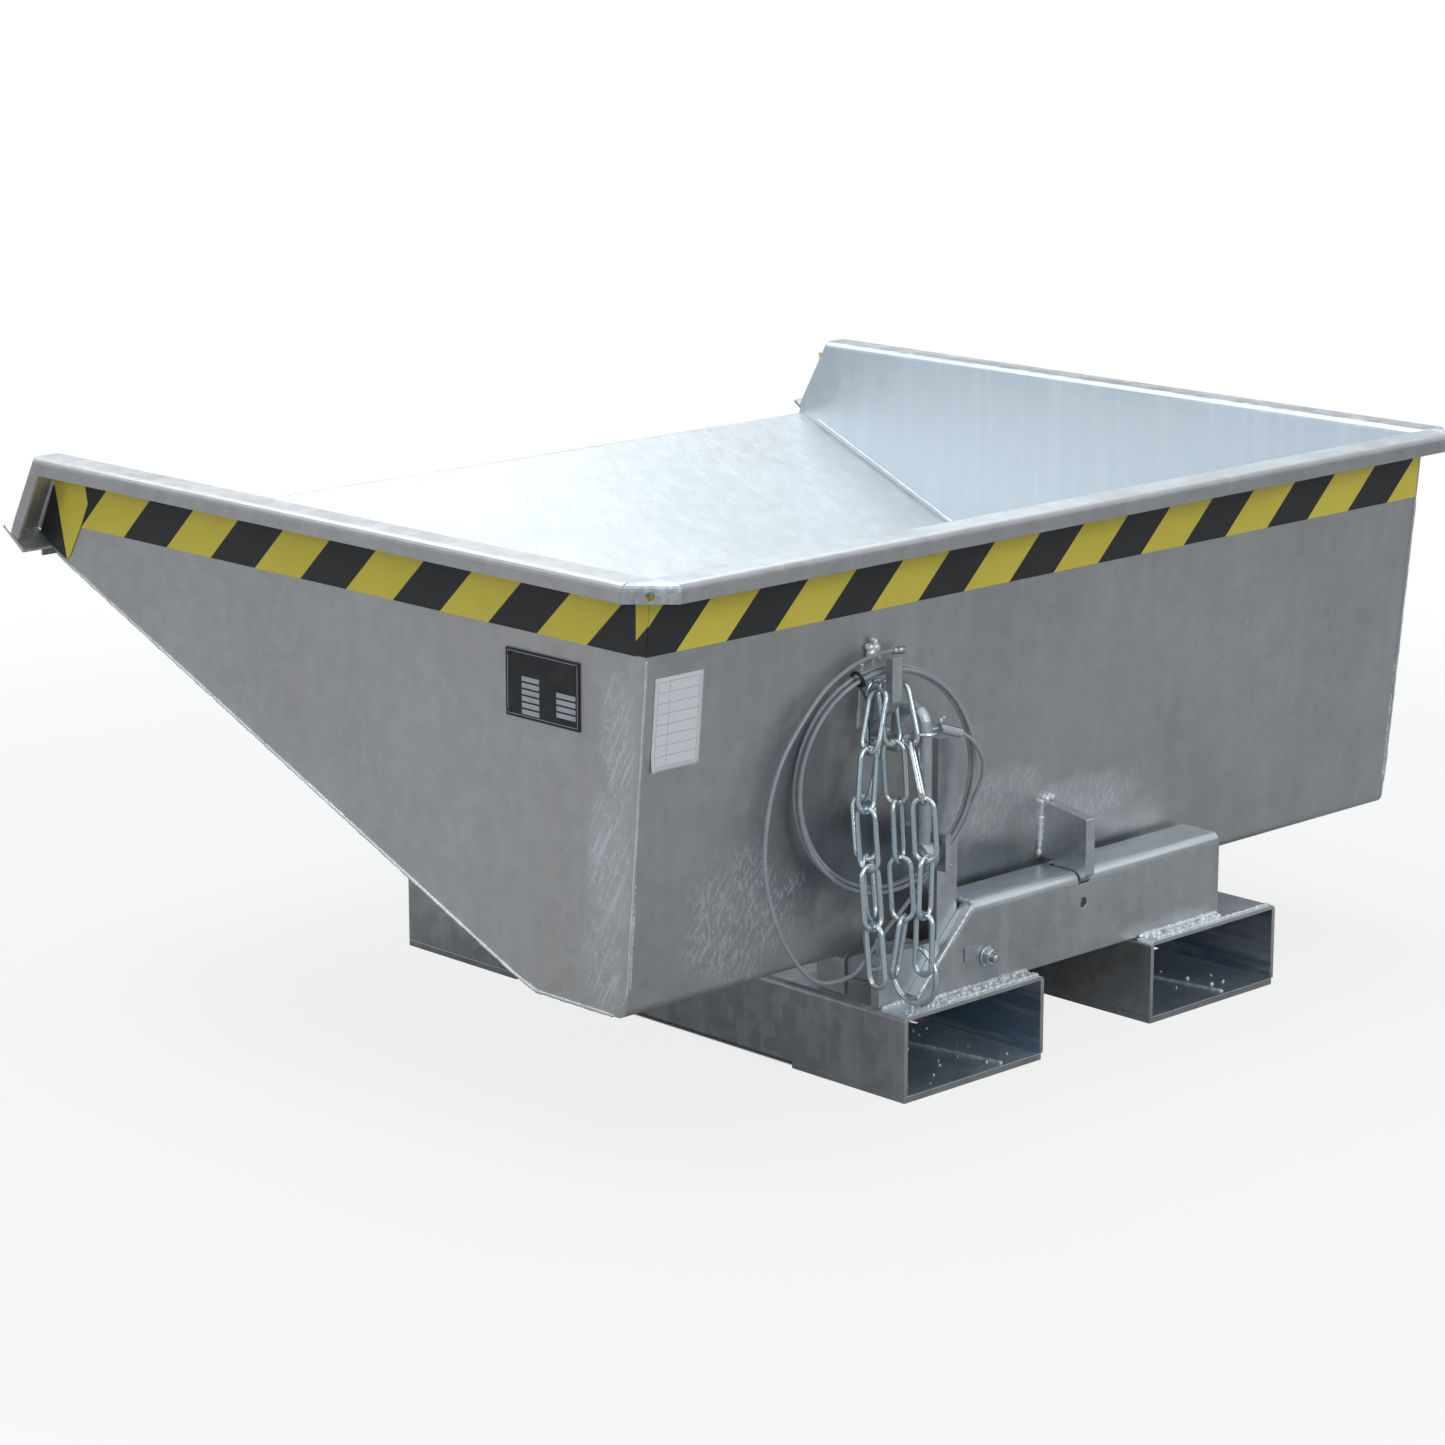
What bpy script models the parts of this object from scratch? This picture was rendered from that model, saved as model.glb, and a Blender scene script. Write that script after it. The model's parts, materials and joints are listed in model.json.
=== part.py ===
"""A forklift tipping skip: a low sheet-steel tub that tips forwards on two pivots over a pair of fork pockets.

All lengths are in metres. X runs across the skip, Y from its rear towards the pouring lip, Z up.
The shapes are drawn with X = 0 midway between the pockets, Y = 0 at the pockets' rear faces and Z = 0 on
the floor. The empty "skip" then moves the whole model so that the middle of its footprint is the origin.
"""

import math

import bmesh
import bpy
from mathutils import Vector

# Clearances and drawing settings shared by all pieces
GAP = 0.0003
CUT_OVERRUN = 0.002
BEND_STEPS = 4
ROUND_SIDES = 24
SHARP_ANGLE = math.radians(35)

# Tub: sheet steel, open at the top, its floor rising to the pouring lip
SHEET = 0.003
TUB_WIDTH = 1.050
TUB_TOP = 0.508
TUB_BOTTOM = 0.1193
REAR_TOP_Y = 0.0421
REAR_BOTTOM_Y = 0.0764
FLAT_END_Y = 0.1974
FLOOR_SLOPE = math.radians(22.9)
RIM_FRONT_Y = 0.874
LIP_Y = 0.917
REAR_BEND = 0.008
SLOPE_BEND = 0.060
LIP_FOLD = 0.025
LIP_BEND = 0.006

# Rim: each wall's edge is folded outwards and down
RIM_REACH = 0.034
RIM_DROP = 0.017
RIM_BEND = 0.0065
CORNER_HOLE = 0.008
END_PLATE_BACK = 0.030
END_PLATE_FRONT = 0.008
END_PLATE_THICK = 0.003
END_PLATE_TURN = math.radians(4.6)

# Fork pockets: two channels open below, tied by straps under their ends
POCKET_LENGTH = 0.683
POCKET_WIDTH = 0.184
POCKET_OUTER_X = 0.2595
POCKET_HEIGHT = 0.080
POCKET_WALL = 0.004
POCKET_BEND = 0.005
STRAP_THICK = 0.006
STRAP_REAR_LENGTH = 0.141
STRAP_FRONT_LENGTH = 0.1615
STRAP_SHORT = 0.0025

# Rear cross beam: a folded plate that stands on both pockets, its left end cut away at 45 degrees
BEAM_Y = 0.020
BEAM_TOP = 0.160
BEAM_THICK = 0.006
BEAM_DEPTH = 0.045
BEAM_BEND = 0.009
BEAM_RIGHT_X = 0.196
BEAM_CHAMFER_X = -0.150
BEAM_LEFT_X = -0.222
BEAM_LEFT_TOP = 0.087
BEAM_LEFT_BEND = 0.003
BEAM_LEFT_THICK = 0.004
BEAM_RETURN_DEPTH = 0.0135
BEAM_STEP = 0.0005
BEAM_HOLE = 0.010
BEAM_HOLE_Z = 0.130

# Front tie between the pockets
TIE_Y = 0.380
TIE_LENGTH = 0.060
TIE_BOTTOM = 0.020
TIE_HEIGHT = 0.050

# Rest pads that carry the tub's rear end
PAD_OUTER_X = 0.250
PAD_WIDTH = 0.050
PAD_Y = 0.085
PAD_DEPTH = 0.034
PAD_WALL = 0.005
PAD_BEND = 0.008

# Tub pivots: an arm under the floor between two ears on each pocket
HINGE_Y = 0.500
HINGE_Z = 0.105
PIVOT_X = 0.167
PIN_DIAMETER = 0.020
PIN_PLAY = 0.0006
PIN_HEAD_DIAMETER = 0.030
PIN_HEAD = 0.006
PIN_END = 0.010
PIN_CHAMFER = 0.0015
SPLIT_PIN = 0.004
EAR_THICK = 0.008
EAR_RADIUS = 0.022
EAR_FOOT_HALF = 0.038
EAR_EDGE = 0.006
ARM_THICK = 0.012
ARM_SIDE_PLAY = 0.001
ARM_EYE_RADIUS = 0.020
ARM_HALF_WIDTH = 0.024
ARM_FOOT_FRONT = 0.058
ARM_FOOT_REAR = 0.090
ARM_FOOT_EDGE = 0.010

# Latch post, its foot plate, bracket and pin
POST_LEFT_X = -0.184
POST_WIDTH = 0.026
POST_THICK = 0.010
POST_TOP = 0.315
FOOT_LEFT_X = -0.258
FOOT_TOP = 0.128
LATCH_X = -0.230
LATCH_Y = 0.0076
LATCH_Z = 0.221
LATCH_BAR = 0.013
LATCH_ARCH_RADIUS = 0.0164
LATCH_ARCH_Z = 0.3371
LATCH_TIP_Z = 0.328
LATCH_EYE_RADIUS = 0.0125
LATCH_EYE_WIDTH = 0.0135
LATCH_PIN = 0.010
LATCH_PIN_HEAD = 0.017
LATCH_PIN_HEAD_THICK = 0.0055
LATCH_WASHER = 0.0015
BRACKET_LEG_X = -0.216
BRACKET_THICK = 0.006
BRACKET_BOTTOM = 0.206
BRACKET_TOP = 0.240
BRACKET_FRONT_Y = -0.006
BRACKET_BEND = 0.009

# Catch lug under the latch's hook
LUG_WIDTH = 0.016
LUG_TOP = 0.326
LUG_HEIGHT = 0.014
LUG_FRONT_Y = 0.033
LUG_CORNER = 0.003

# Centring plate on the rear wall, which drops into a slot in the beam
FIN_THICK = 0.012
FIN_WALL_TOP = 0.220
FIN_OUTER_TOP = 0.211
FIN_OUTER_Y = 0.013
FIN_NOSE = 0.002
FIN_BOTTOM = 0.150
FIN_TOE = 0.008
FIN_TOE_BACK = 0.046
FIN_STEP = 0.166
SLOT_PLAY = 0.0015
SLOT_END_PLAY = 0.010

# Hook on the rear wall for the safety chain and the coiled cable
HOOK_LEFT_X = -0.263
HOOK_THICK = 0.012
HOOK_SADDLE = 0.3718
HOOK_NOSE_TOP = 0.403
HOOK_NOSE_Y = 0.016
HOOK_NOSE_THICK = 0.008
HOOK_CHIN = 0.363
HOOK_CHIN_Y = 0.024
HOOK_CHIN_BOTTOM = 0.353
HOOK_WALL_TOP = 0.396
HOOK_WALL_BOTTOM = 0.332
HOOK_FILLET = 0.007

# Safety chain, hung up on the hook, with its quick link and ring
CHAIN_WIRE = 0.005
CHAIN_PITCH = 0.051
CHAIN_INNER_WIDTH = 0.0145
CHAIN_BEAR = 0.0008
CHAIN_END_STEPS = 5
CHAIN_SIDES = 6
CHAIN_LINKS = 5
CHAIN_LINKS_LEFT = 4
CHAIN_RING_DIAMETER = 0.058
CHAIN_RING_WIRE = 0.005
CHAIN_RING_STEPS = 28
CHAIN_RING_PLACE = (-0.2460, 0.0020, 0.1165)
QUICK_LENGTH = 0.046
QUICK_WIDTH = 0.023
QUICK_WIRE = 0.005
QUICK_NUT = 0.010
QUICK_NUT_LENGTH = 0.016

# Where each strand's top bearing lies, and the places that its links then head for in turn
STRAND_FRONT_ROUTE = (
    (-0.2415, 0.0290, 0.3740), (-0.2425, 0.0245, 0.3220), (-0.2445, 0.0180, 0.2700),
    (-0.2475, -0.0055, 0.2240), (-0.2505, -0.0105, 0.1720), (-0.2515, -0.0130, 0.1000),
)
STRAND_MIDDLE_ROUTE = ((-0.2570, 0.0310, 0.3767), (-0.2570, 0.0310, 0.3249), (-0.2690, 0.0120, 0.1000))
STRAND_LEFT_ROUTE = ((-0.2719, 0.0240, 0.3740), (-0.2725, 0.0235, 0.3220), (-0.2945, 0.0080, 0.1000))

# Release cable: grey sheathed wire rope from the latch, coiled over the hook
CABLE = 0.004
CABLE_TURNS = 3
CABLE_TURN_POINTS = 24
COIL_X = -0.250
COIL_Z = 0.289
COIL_RADIUS_X = 0.092
COIL_RADIUS_Z = 0.101
COIL_RIGHT_Y = 0.015
COIL_TOP_Y = 0.034
COIL_LEFT_Y = 0.054
COIL_LOW_Y = 0.038
COIL_BUNDLE = 0.0034
COIL_BUNDLE_LAYS = 4
COIL_FIRST_LAY = math.radians(315)
COIL_START = math.radians(-20)
COIL_END = math.radians(-45)
SLEEVE = 0.009
SLEEVE_START = (-0.2080, 0.0125, 0.3330)
SLEEVE_END = (-0.1815, 0.0110, 0.3240)
EYE_PLAY = 0.0007
EYE_STEPS = 12
CABLE_RUN_ROUTE = ((-0.1690, 0.0060, 0.3150), (-0.1585, 0.0040, 0.2970), (-0.1560, 0.0070, 0.2790))
CABLE_TAIL_ROUTE = (
    (-0.2040, 0.0330, 0.1880), (-0.2200, 0.0400, 0.1660), (-0.2400, 0.0470, 0.1430), (-0.2580, 0.0500, 0.1230),
    (-0.2800, 0.0500, 0.1110), (-0.3300, 0.0440, 0.1200),
    (-0.3750, 0.0400, 0.1700), (-0.3960, 0.0390, 0.2400), (-0.3780, 0.0420, 0.3150), (-0.3300, 0.0440, 0.3700),
    (-0.2900, 0.0430, 0.3940), (-0.2500, 0.0420, 0.4020), (-0.2250, 0.0415, 0.4010),
)

# Fastenings and plates
KEEPER_X = -0.132
KEEPER_Z = 0.106
KEEPER_STUD = 0.008
KEEPER_REACH = 0.013
KEEPER_NUT = 0.0145
KEEPER_NUT_HEIGHT = 0.0065
LOCK_WIDTH = 0.021
LOCK_HEIGHT = 0.013
LOCK_THICK = 0.0012
LOCK_X = -0.162
LOCK_Z = 0.1065
PLATE_LENGTH = 0.094
PLATE_HEIGHT = 0.060
PLATE_THICK = 0.0012
PLATE_Y = 0.130
PLATE_DROP = 0.086
PLATE_RIVET = 0.004
PLATE_RIVET_HEAD = 0.0009
PLATE_RIVET_EDGE = 0.005


# Lines in a plane

def unit(a, b):
    """The direction from a to b, and its left-hand normal."""
    dx, dy = b[0] - a[0], b[1] - a[1]
    size = math.hypot(dx, dy)
    return (dx / size, dy / size), (-dy / size, dx / size)


def offset_line(points, distance):
    """An open line moved to its left by a distance, with mitred corners."""
    moved = []
    for i, point in enumerate(points):
        normals = []
        if i > 0:
            normals.append(unit(points[i - 1], point)[1])
        if i < len(points) - 1:
            normals.append(unit(point, points[i + 1])[1])
        nx = sum(n[0] for n in normals) / len(normals)
        ny = sum(n[1] for n in normals) / len(normals)
        square = nx * nx + ny * ny
        moved.append((point[0] + distance * nx / square, point[1] + distance * ny / square))
    return moved


def filleted_line(points, radii, steps=BEND_STEPS):
    """An open line with its inner corners rounded, as (point, left normal) pairs."""
    out = [(points[0], unit(points[0], points[1])[1])]
    for i in range(1, len(points) - 1):
        (ax, ay), normal_in = unit(points[i - 1], points[i])
        (bx, by), normal_out = unit(points[i], points[i + 1])
        turn = math.atan2(ax * by - ay * bx, ax * bx + ay * by)
        radius = radii[i - 1]
        back = radius * math.tan(abs(turn) / 2)
        start = (points[i][0] - ax * back, points[i][1] - ay * back)
        side = math.copysign(1, turn)
        centre = (start[0] + side * radius * normal_in[0], start[1] + side * radius * normal_in[1])
        for k in range(steps + 1):
            angle = turn * k / steps
            nx = normal_in[0] * math.cos(angle) - normal_in[1] * math.sin(angle)
            ny = normal_in[0] * math.sin(angle) + normal_in[1] * math.cos(angle)
            out.append(((centre[0] - side * radius * nx, centre[1] - side * radius * ny), (nx, ny)))
    out.append((points[-1], unit(points[-2], points[-1])[1]))
    return out


def folded_sheet(face, radii, thick, steps=BEND_STEPS):
    """Closed outline of a bent sheet: face is the line of its left face, radii those of its middle."""
    middle = offset_line(face, -thick / 2)
    samples = filleted_line(middle, radii, steps)
    left = [(p[0] + n[0] * thick / 2, p[1] + n[1] * thick / 2) for p, n in samples]
    right = [(p[0] - n[0] * thick / 2, p[1] - n[1] * thick / 2) for p, n in samples]
    return left + right[::-1]


def rounded_outline(points, radii, steps=BEND_STEPS):
    """A closed outline with each corner rounded by its own radius, zero keeping it sharp."""
    out = []
    count = len(points)
    for i in range(count):
        before, here, after = points[i - 1], points[i], points[(i + 1) % count]
        if radii[i] == 0:
            out.append(here)
            continue
        (ax, ay), _ = unit(before, here)
        (bx, by), _ = unit(here, after)
        back = radii[i] * math.tan(abs(math.atan2(ax * by - ay * bx, ax * bx + ay * by)) / 2)
        line = [(here[0] - ax * back, here[1] - ay * back), here,
                (here[0] + bx * back, here[1] + by * back)]
        middle = filleted_line(line, [radii[i]], steps)[1:-1]
        out.extend(point for point, _ in middle)
    return out


def arc(centre, radius, start, end, steps):
    """Points on a circular arc."""
    return [(centre[0] + radius * math.cos(start + (end - start) * k / steps),
             centre[1] + radius * math.sin(start + (end - start) * k / steps)) for k in range(steps + 1)]


# Objects

def material(name, colour, roughness, metallic):
    """A Principled material."""
    made = bpy.data.materials.new(name)
    made.use_nodes = True
    shader = made.node_tree.nodes["Principled BSDF"]
    shader.inputs["Base Color"].default_value = (*colour, 1)
    shader.inputs["Roughness"].default_value = roughness
    shader.inputs["Metallic"].default_value = metallic
    made.diffuse_color = (*colour, 1)
    return made


def finish_mesh(name, vertices, faces, finish, smooth=False):
    """A linked object of one closed mesh, with its faces turned outwards."""
    mesh = bpy.data.meshes.new(name)
    mesh.from_pydata([tuple(v) for v in vertices], [], faces)
    shape = bmesh.new()
    shape.from_mesh(mesh)
    bmesh.ops.recalc_face_normals(shape, faces=shape.faces)
    shape.to_mesh(mesh)
    shape.free()
    if smooth:
        mesh.shade_smooth()
        mesh.set_sharp_from_angle(angle=SHARP_ANGLE)
    thing = bpy.data.objects.new(name, mesh)
    bpy.context.scene.collection.objects.link(thing)
    if finish is not None:
        mesh.materials.append(finish)
    return thing


def hang_on(thing, frame):
    """Parents an object that is drawn in the skip's coordinates to an empty."""
    thing.parent = frame
    if frame is not SKIP:
        thing.location = [-value for value in frame.location]
    return thing


def prism(name, outline, axis, low, high, finish=None, smooth=True):
    """An outline pushed along an axis. Outlines are (y, z) for X, (x, z) for Y and (x, y) for Z."""
    place = {
        "X": lambda u, v, w: (w, u, v),
        "Y": lambda u, v, w: (u, w, v),
        "Z": lambda u, v, w: (u, v, w),
    }[axis]
    count = len(outline)
    vertices = [place(u, v, low) for u, v in outline] + [place(u, v, high) for u, v in outline]
    faces = [tuple(range(count)), tuple(range(2 * count - 1, count - 1, -1))]
    faces += [(i, (i + 1) % count, count + (i + 1) % count, count + i) for i in range(count)]
    return finish_mesh(name, vertices, faces, finish, smooth)


def loft(name, sections, finish=None, smooth=True, sheet=False):
    """A body through sections that have the same number of points. A sheet's ends are closed in strips."""
    count = len(sections[0])
    vertices = [point for section in sections for point in section]
    last = len(vertices) - count
    if sheet:
        strips = [(i, i + 1, count - 2 - i, count - 1 - i) for i in range(count // 2 - 1)]
        faces = strips + [tuple(last + i for i in strip[::-1]) for strip in strips]
    else:
        faces = [tuple(range(count)), tuple(range(len(vertices) - 1, last - 1, -1))]
    for s in range(len(sections) - 1):
        for i in range(count):
            j = (i + 1) % count
            faces.append((s * count + i, s * count + j, (s + 1) * count + j, (s + 1) * count + i))
    return finish_mesh(name, vertices, faces, finish, smooth)


def turned(name, start, end, stations, finish=None, sides=ROUND_SIDES):
    """A round body from start towards end, through (distance, radius) stations."""
    start = Vector(start)
    along = (Vector(end) - start).normalized()
    across = along.orthogonal().normalized()
    other = along.cross(across)
    sections = []
    for distance, radius in stations:
        centre = start + along * distance
        sections.append([centre + (across * math.cos(math.tau * k / sides)
                                   + other * math.sin(math.tau * k / sides)) * radius for k in range(sides)])
    return loft(name, sections, finish)


def rod(name, start, end, radius, finish=None, sides=ROUND_SIDES):
    """A plain cylinder between two points."""
    length = (Vector(end) - Vector(start)).length
    return turned(name, start, end, [(0, radius), (length, radius)], finish, sides)


def tube(name, path, radius, sides, closed, finish=None):
    """A round tube along a path that lies nearly in one plane, whose first ridge faces inwards."""
    path = [Vector(p) for p in path]
    count = len(path)
    middle = sum(path, Vector()) / count
    normal = Vector()
    for i in range(count - 1):
        normal += (path[i] - middle).cross(path[i + 1] - middle)
    normal.normalize()
    rings = []
    for i, point in enumerate(path):
        if closed:
            before, after = path[i - 1], path[(i + 1) % count]
        else:
            before, after = path[max(i - 1, 0)], path[min(i + 1, count - 1)]
        along = (after - before).normalized()
        side = normal.cross(along).normalized()
        up = along.cross(side)
        rings.append([point + (side * math.cos(math.tau * k / sides)
                               + up * math.sin(math.tau * k / sides)) * radius for k in range(sides)])
    if not closed:
        return loft(name, rings, finish)
    vertices = [point for ring in rings for point in ring]
    faces = []
    for s in range(count):
        t = (s + 1) % count
        for i in range(sides):
            j = (i + 1) % sides
            faces.append((s * sides + i, s * sides + j, t * sides + j, t * sides + i))
    return finish_mesh(name, vertices, faces, finish, True)


def change(thing, helper, operation):
    """A Boolean with a hidden helper."""
    helper.hide_render = True
    helper.display_type = "WIRE"
    modifier = thing.modifiers.new(helper.name, "BOOLEAN")
    modifier.operation = operation
    modifier.solver = "EXACT"
    modifier.object = helper
    helper.parent = thing
    return thing


def cut(thing, helper):
    return change(thing, helper, "DIFFERENCE")


def join(thing, helper):
    return change(thing, helper, "UNION")


def slab(name, x, y, z, finish=None):
    """A plain block between pairs of X, Y and Z."""
    return prism(name, [(x[0], y[0]), (x[1], y[0]), (x[1], y[1]), (x[0], y[1])], "Z", z[0], z[1], finish, False)


def hexagon(name, centre, axis, across_flats, length, finish=None):
    """A hexagonal prism from a centre along +X or -Y."""
    radius = across_flats / math.sqrt(3)
    points = arc((0, 0), radius, 0, math.tau * 5 / 6, 5)
    if axis == "X":
        outline = [(centre[1] + u, centre[2] + v) for u, v in points]
        return prism(name, outline, "X", centre[0], centre[0] + length, finish, False)
    outline = [(centre[0] + u, centre[2] + v) for u, v in points]
    return prism(name, outline, "Y", centre[1] - length, centre[1], finish, False)


def smooth_route(points, spacing):
    """A Catmull-Rom curve through a route, read off at an even spacing."""
    ends = [tuple(2 * a - b for a, b in zip(points[0], points[1]))]
    last = [tuple(2 * a - b for a, b in zip(points[-1], points[-2]))]
    nodes = [Vector(p) for p in ends + list(points) + last]
    fine = []
    steps = 40
    for i in range(1, len(nodes) - 2):
        p0, p1, p2, p3 = nodes[i - 1:i + 3]
        for k in range(steps):
            t = k / steps
            fine.append(0.5 * ((2 * p1) + (p2 - p0) * t + (2 * p0 - 5 * p1 + 4 * p2 - p3) * t * t
                               + (3 * p1 - p0 - 3 * p2 + p3) * t ** 3))
    fine.append(nodes[-2])
    lengths = [0]
    for a, b in zip(fine, fine[1:]):
        lengths.append(lengths[-1] + (b - a).length)
    count = max(round(lengths[-1] / spacing), 2)
    out = []
    i = 0
    for k in range(count + 1):
        target = lengths[-1] * k / count
        while i < len(fine) - 2 and lengths[i + 1] < target:
            i += 1
        share = (target - lengths[i]) / max(lengths[i + 1] - lengths[i], 1e-9)
        out.append(fine[i].lerp(fine[i + 1], min(share, 1)))
    return out


def cord(name, points, diameter, bevel_resolution, finish):
    """A cord as a bevelled curve with filled ends."""
    curve = bpy.data.curves.new(name, "CURVE")
    curve.dimensions = "3D"
    curve.bevel_depth = diameter / 2
    curve.bevel_resolution = bevel_resolution
    curve.use_fill_caps = True
    spline = curve.splines.new("POLY")
    spline.points.add(len(points) - 1)
    for target, point in zip(spline.points, points):
        target.co = (*point, 1)
        target.radius = 1
    spline.use_smooth = True
    curve.materials.append(finish)
    thing = bpy.data.objects.new(name, curve)
    bpy.context.scene.collection.objects.link(thing)
    return thing


for old in list(bpy.data.objects):
    bpy.data.objects.remove(old)

GALVANISED = (0.50, 0.52, 0.54)
mat_tub = material("galvanised tub", GALVANISED, 0.42, 0.9)
mat_rim = material("galvanised rim", (0.62, 0.64, 0.67), 0.40, 0.9)
mat_base = material("galvanised base", (0.46, 0.48, 0.50), 0.45, 0.9)
mat_fitting = material("galvanised fittings", (0.55, 0.56, 0.57), 0.38, 0.9)
mat_bright = material("bright zinc", (0.72, 0.76, 0.80), 0.22, 1.0)
mat_cable = material("grey cable sheath", (0.42, 0.43, 0.45), 0.45, 0.0)
mat_plate = material("black plate", (0.02, 0.02, 0.022), 0.35, 0.2)

# Places worked out from the sizes
half = TUB_WIDTH / 2
rise = math.tan(FLOOR_SLOPE)
rear_lean = (REAR_BOTTOM_Y - REAR_TOP_Y) / (TUB_TOP - TUB_BOTTOM)
sheet_level = SHEET / math.cos(FLOOR_SLOPE)


def wall_y(z):
    """Y of the rear wall's outer face at a height."""
    return REAR_BOTTOM_Y - (z - TUB_BOTTOM) * rear_lean


def floor_z(y):
    """Height of the sloping floor's underside."""
    return TUB_BOTTOM + (y - FLAT_END_Y) * rise


tub_front_y = LIP_Y + END_PLATE_FRONT
ring_back_y = CHAIN_RING_PLACE[1] - CHAIN_RING_DIAMETER / 2
middle_y = (tub_front_y + ring_back_y) / 2

SKIP = bpy.data.objects.new("skip", None)
SKIP.location = (0, -middle_y, 0)
TUB_HINGE = bpy.data.objects.new("tub_hinge", None)
TUB_HINGE.location = (0, HINGE_Y, HINGE_Z)
LATCH_HINGE = bpy.data.objects.new("latch_hinge", None)
LATCH_HINGE.location = (LATCH_X, LATCH_Y, LATCH_Z)
for empty in (SKIP, TUB_HINGE, LATCH_HINGE):
    bpy.context.scene.collection.objects.link(empty)
for empty in (TUB_HINGE, LATCH_HINGE):
    empty.parent = SKIP

# Fork pockets with their straps
wall_bottom = STRAP_THICK + GAP
inner_x = POCKET_OUTER_X - POCKET_WIDTH
for side, low_x in (("left", -POCKET_OUTER_X), ("right", inner_x)):
    high_x = low_x + POCKET_WIDTH
    face = [(low_x, wall_bottom), (low_x, POCKET_HEIGHT), (high_x, POCKET_HEIGHT), (high_x, wall_bottom)]
    bend = POCKET_BEND - POCKET_WALL / 2
    outline = folded_sheet(face[::-1], [bend, bend], -POCKET_WALL)
    hang_on(prism(f"fork_pocket_{side}", outline, "Y", 0, POCKET_LENGTH, mat_base), SKIP)
    strap_x = (low_x, high_x - STRAP_SHORT)
    hang_on(slab(f"strap_rear_{side}", strap_x, (0, STRAP_REAR_LENGTH), (0, STRAP_THICK), mat_base), SKIP)
    front_y = (POCKET_LENGTH - STRAP_FRONT_LENGTH, POCKET_LENGTH)
    hang_on(slab(f"strap_front_{side}", strap_x, front_y, (0, STRAP_THICK), mat_base), SKIP)

# Rear cross beam
beam_bottom = POCKET_HEIGHT + GAP


def beam_section(x, top, depth, bend, thick):
    """The beam's folded section at one X."""
    face = [(BEAM_Y, beam_bottom), (BEAM_Y, top), (BEAM_Y + depth, top)]
    outline = folded_sheet(face, [bend - thick / 2], thick)
    return [(x, y, z) for y, z in outline]


beam = loft("cross_beam", [
    beam_section(BEAM_RIGHT_X, BEAM_TOP, BEAM_DEPTH, BEAM_BEND, BEAM_THICK),
    beam_section(BEAM_CHAMFER_X + BEAM_STEP, BEAM_TOP, BEAM_DEPTH, BEAM_BEND, BEAM_THICK),
    beam_section(BEAM_CHAMFER_X, BEAM_TOP, BEAM_RETURN_DEPTH, BEAM_BEND, BEAM_THICK),
    beam_section(BEAM_LEFT_X, BEAM_LEFT_TOP, BEAM_RETURN_DEPTH, BEAM_LEFT_BEND, BEAM_LEFT_THICK),
], mat_base, sheet=True)
slot_half = FIN_THICK / 2 + SLOT_PLAY
fin_toe_y = FIN_OUTER_Y + FIN_TOE_BACK
slot_y = (BEAM_Y - CUT_OVERRUN, fin_toe_y)
slot_z = (FIN_BOTTOM - SLOT_PLAY, BEAM_TOP + CUT_OVERRUN)
cut(beam, slab("beam_slot_cutter", (-slot_half, slot_half), slot_y, slot_z))
cut(beam, rod("beam_hole_cutter", (0, BEAM_Y - CUT_OVERRUN, BEAM_HOLE_Z),
              (0, BEAM_Y + BEAM_THICK + CUT_OVERRUN, BEAM_HOLE_Z), BEAM_HOLE / 2))
hang_on(beam, SKIP)

# Front tie, a channel between the pockets
tie_half = inner_x - GAP
tie_top = TIE_BOTTOM + TIE_HEIGHT
tie_face = [(TIE_Y, TIE_BOTTOM), (TIE_Y, tie_top), (TIE_Y + TIE_LENGTH, tie_top), (TIE_Y + TIE_LENGTH, TIE_BOTTOM)]
tie_bend = POCKET_BEND - POCKET_WALL / 2
hang_on(prism("front_tie", folded_sheet(tie_face[::-1], [tie_bend, tie_bend], -POCKET_WALL), "X",
              -tie_half, tie_half, mat_base), SKIP)

# Rest pads, folded channels under the tub's flat bottom
pad_top = TUB_BOTTOM - GAP
for side, low_x in (("left", -PAD_OUTER_X), ("right", PAD_OUTER_X - PAD_WIDTH)):
    high_x = low_x + PAD_WIDTH
    pad_face = [(low_x, beam_bottom), (low_x, pad_top), (high_x, pad_top), (high_x, beam_bottom)]
    pad_bend = PAD_BEND - PAD_WALL / 2
    hang_on(prism(f"rest_pad_{side}", folded_sheet(pad_face[::-1], [pad_bend, pad_bend], -PAD_WALL), "Y",
                  PAD_Y, PAD_Y + PAD_DEPTH, mat_base), SKIP)

# Tub shell: rear wall with its rim, flat bottom, sloping floor and folded lip in one sheet
shell_half = half - SHEET - GAP
rim_y = REAR_TOP_Y - RIM_REACH
lip_z = floor_z(LIP_Y)
shell_face = [
    (rim_y, TUB_TOP - RIM_DROP),
    (rim_y, TUB_TOP),
    (REAR_TOP_Y + SHEET, TUB_TOP),
    (REAR_BOTTOM_Y + SHEET, TUB_BOTTOM + SHEET),
    (FLAT_END_Y, TUB_BOTTOM + SHEET),
    (LIP_Y, lip_z + SHEET),
    (LIP_Y, lip_z + SHEET - LIP_FOLD),
]
inner = SHEET / 2
shell_radii = [RIM_BEND - inner, RIM_BEND - inner, REAR_BEND, SLOPE_BEND, LIP_BEND]
shell_outline = folded_sheet(shell_face, shell_radii, SHEET, 5)
hang_on(prism("tub_shell", shell_outline, "X", -shell_half, shell_half, mat_tub), TUB_HINGE)

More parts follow.
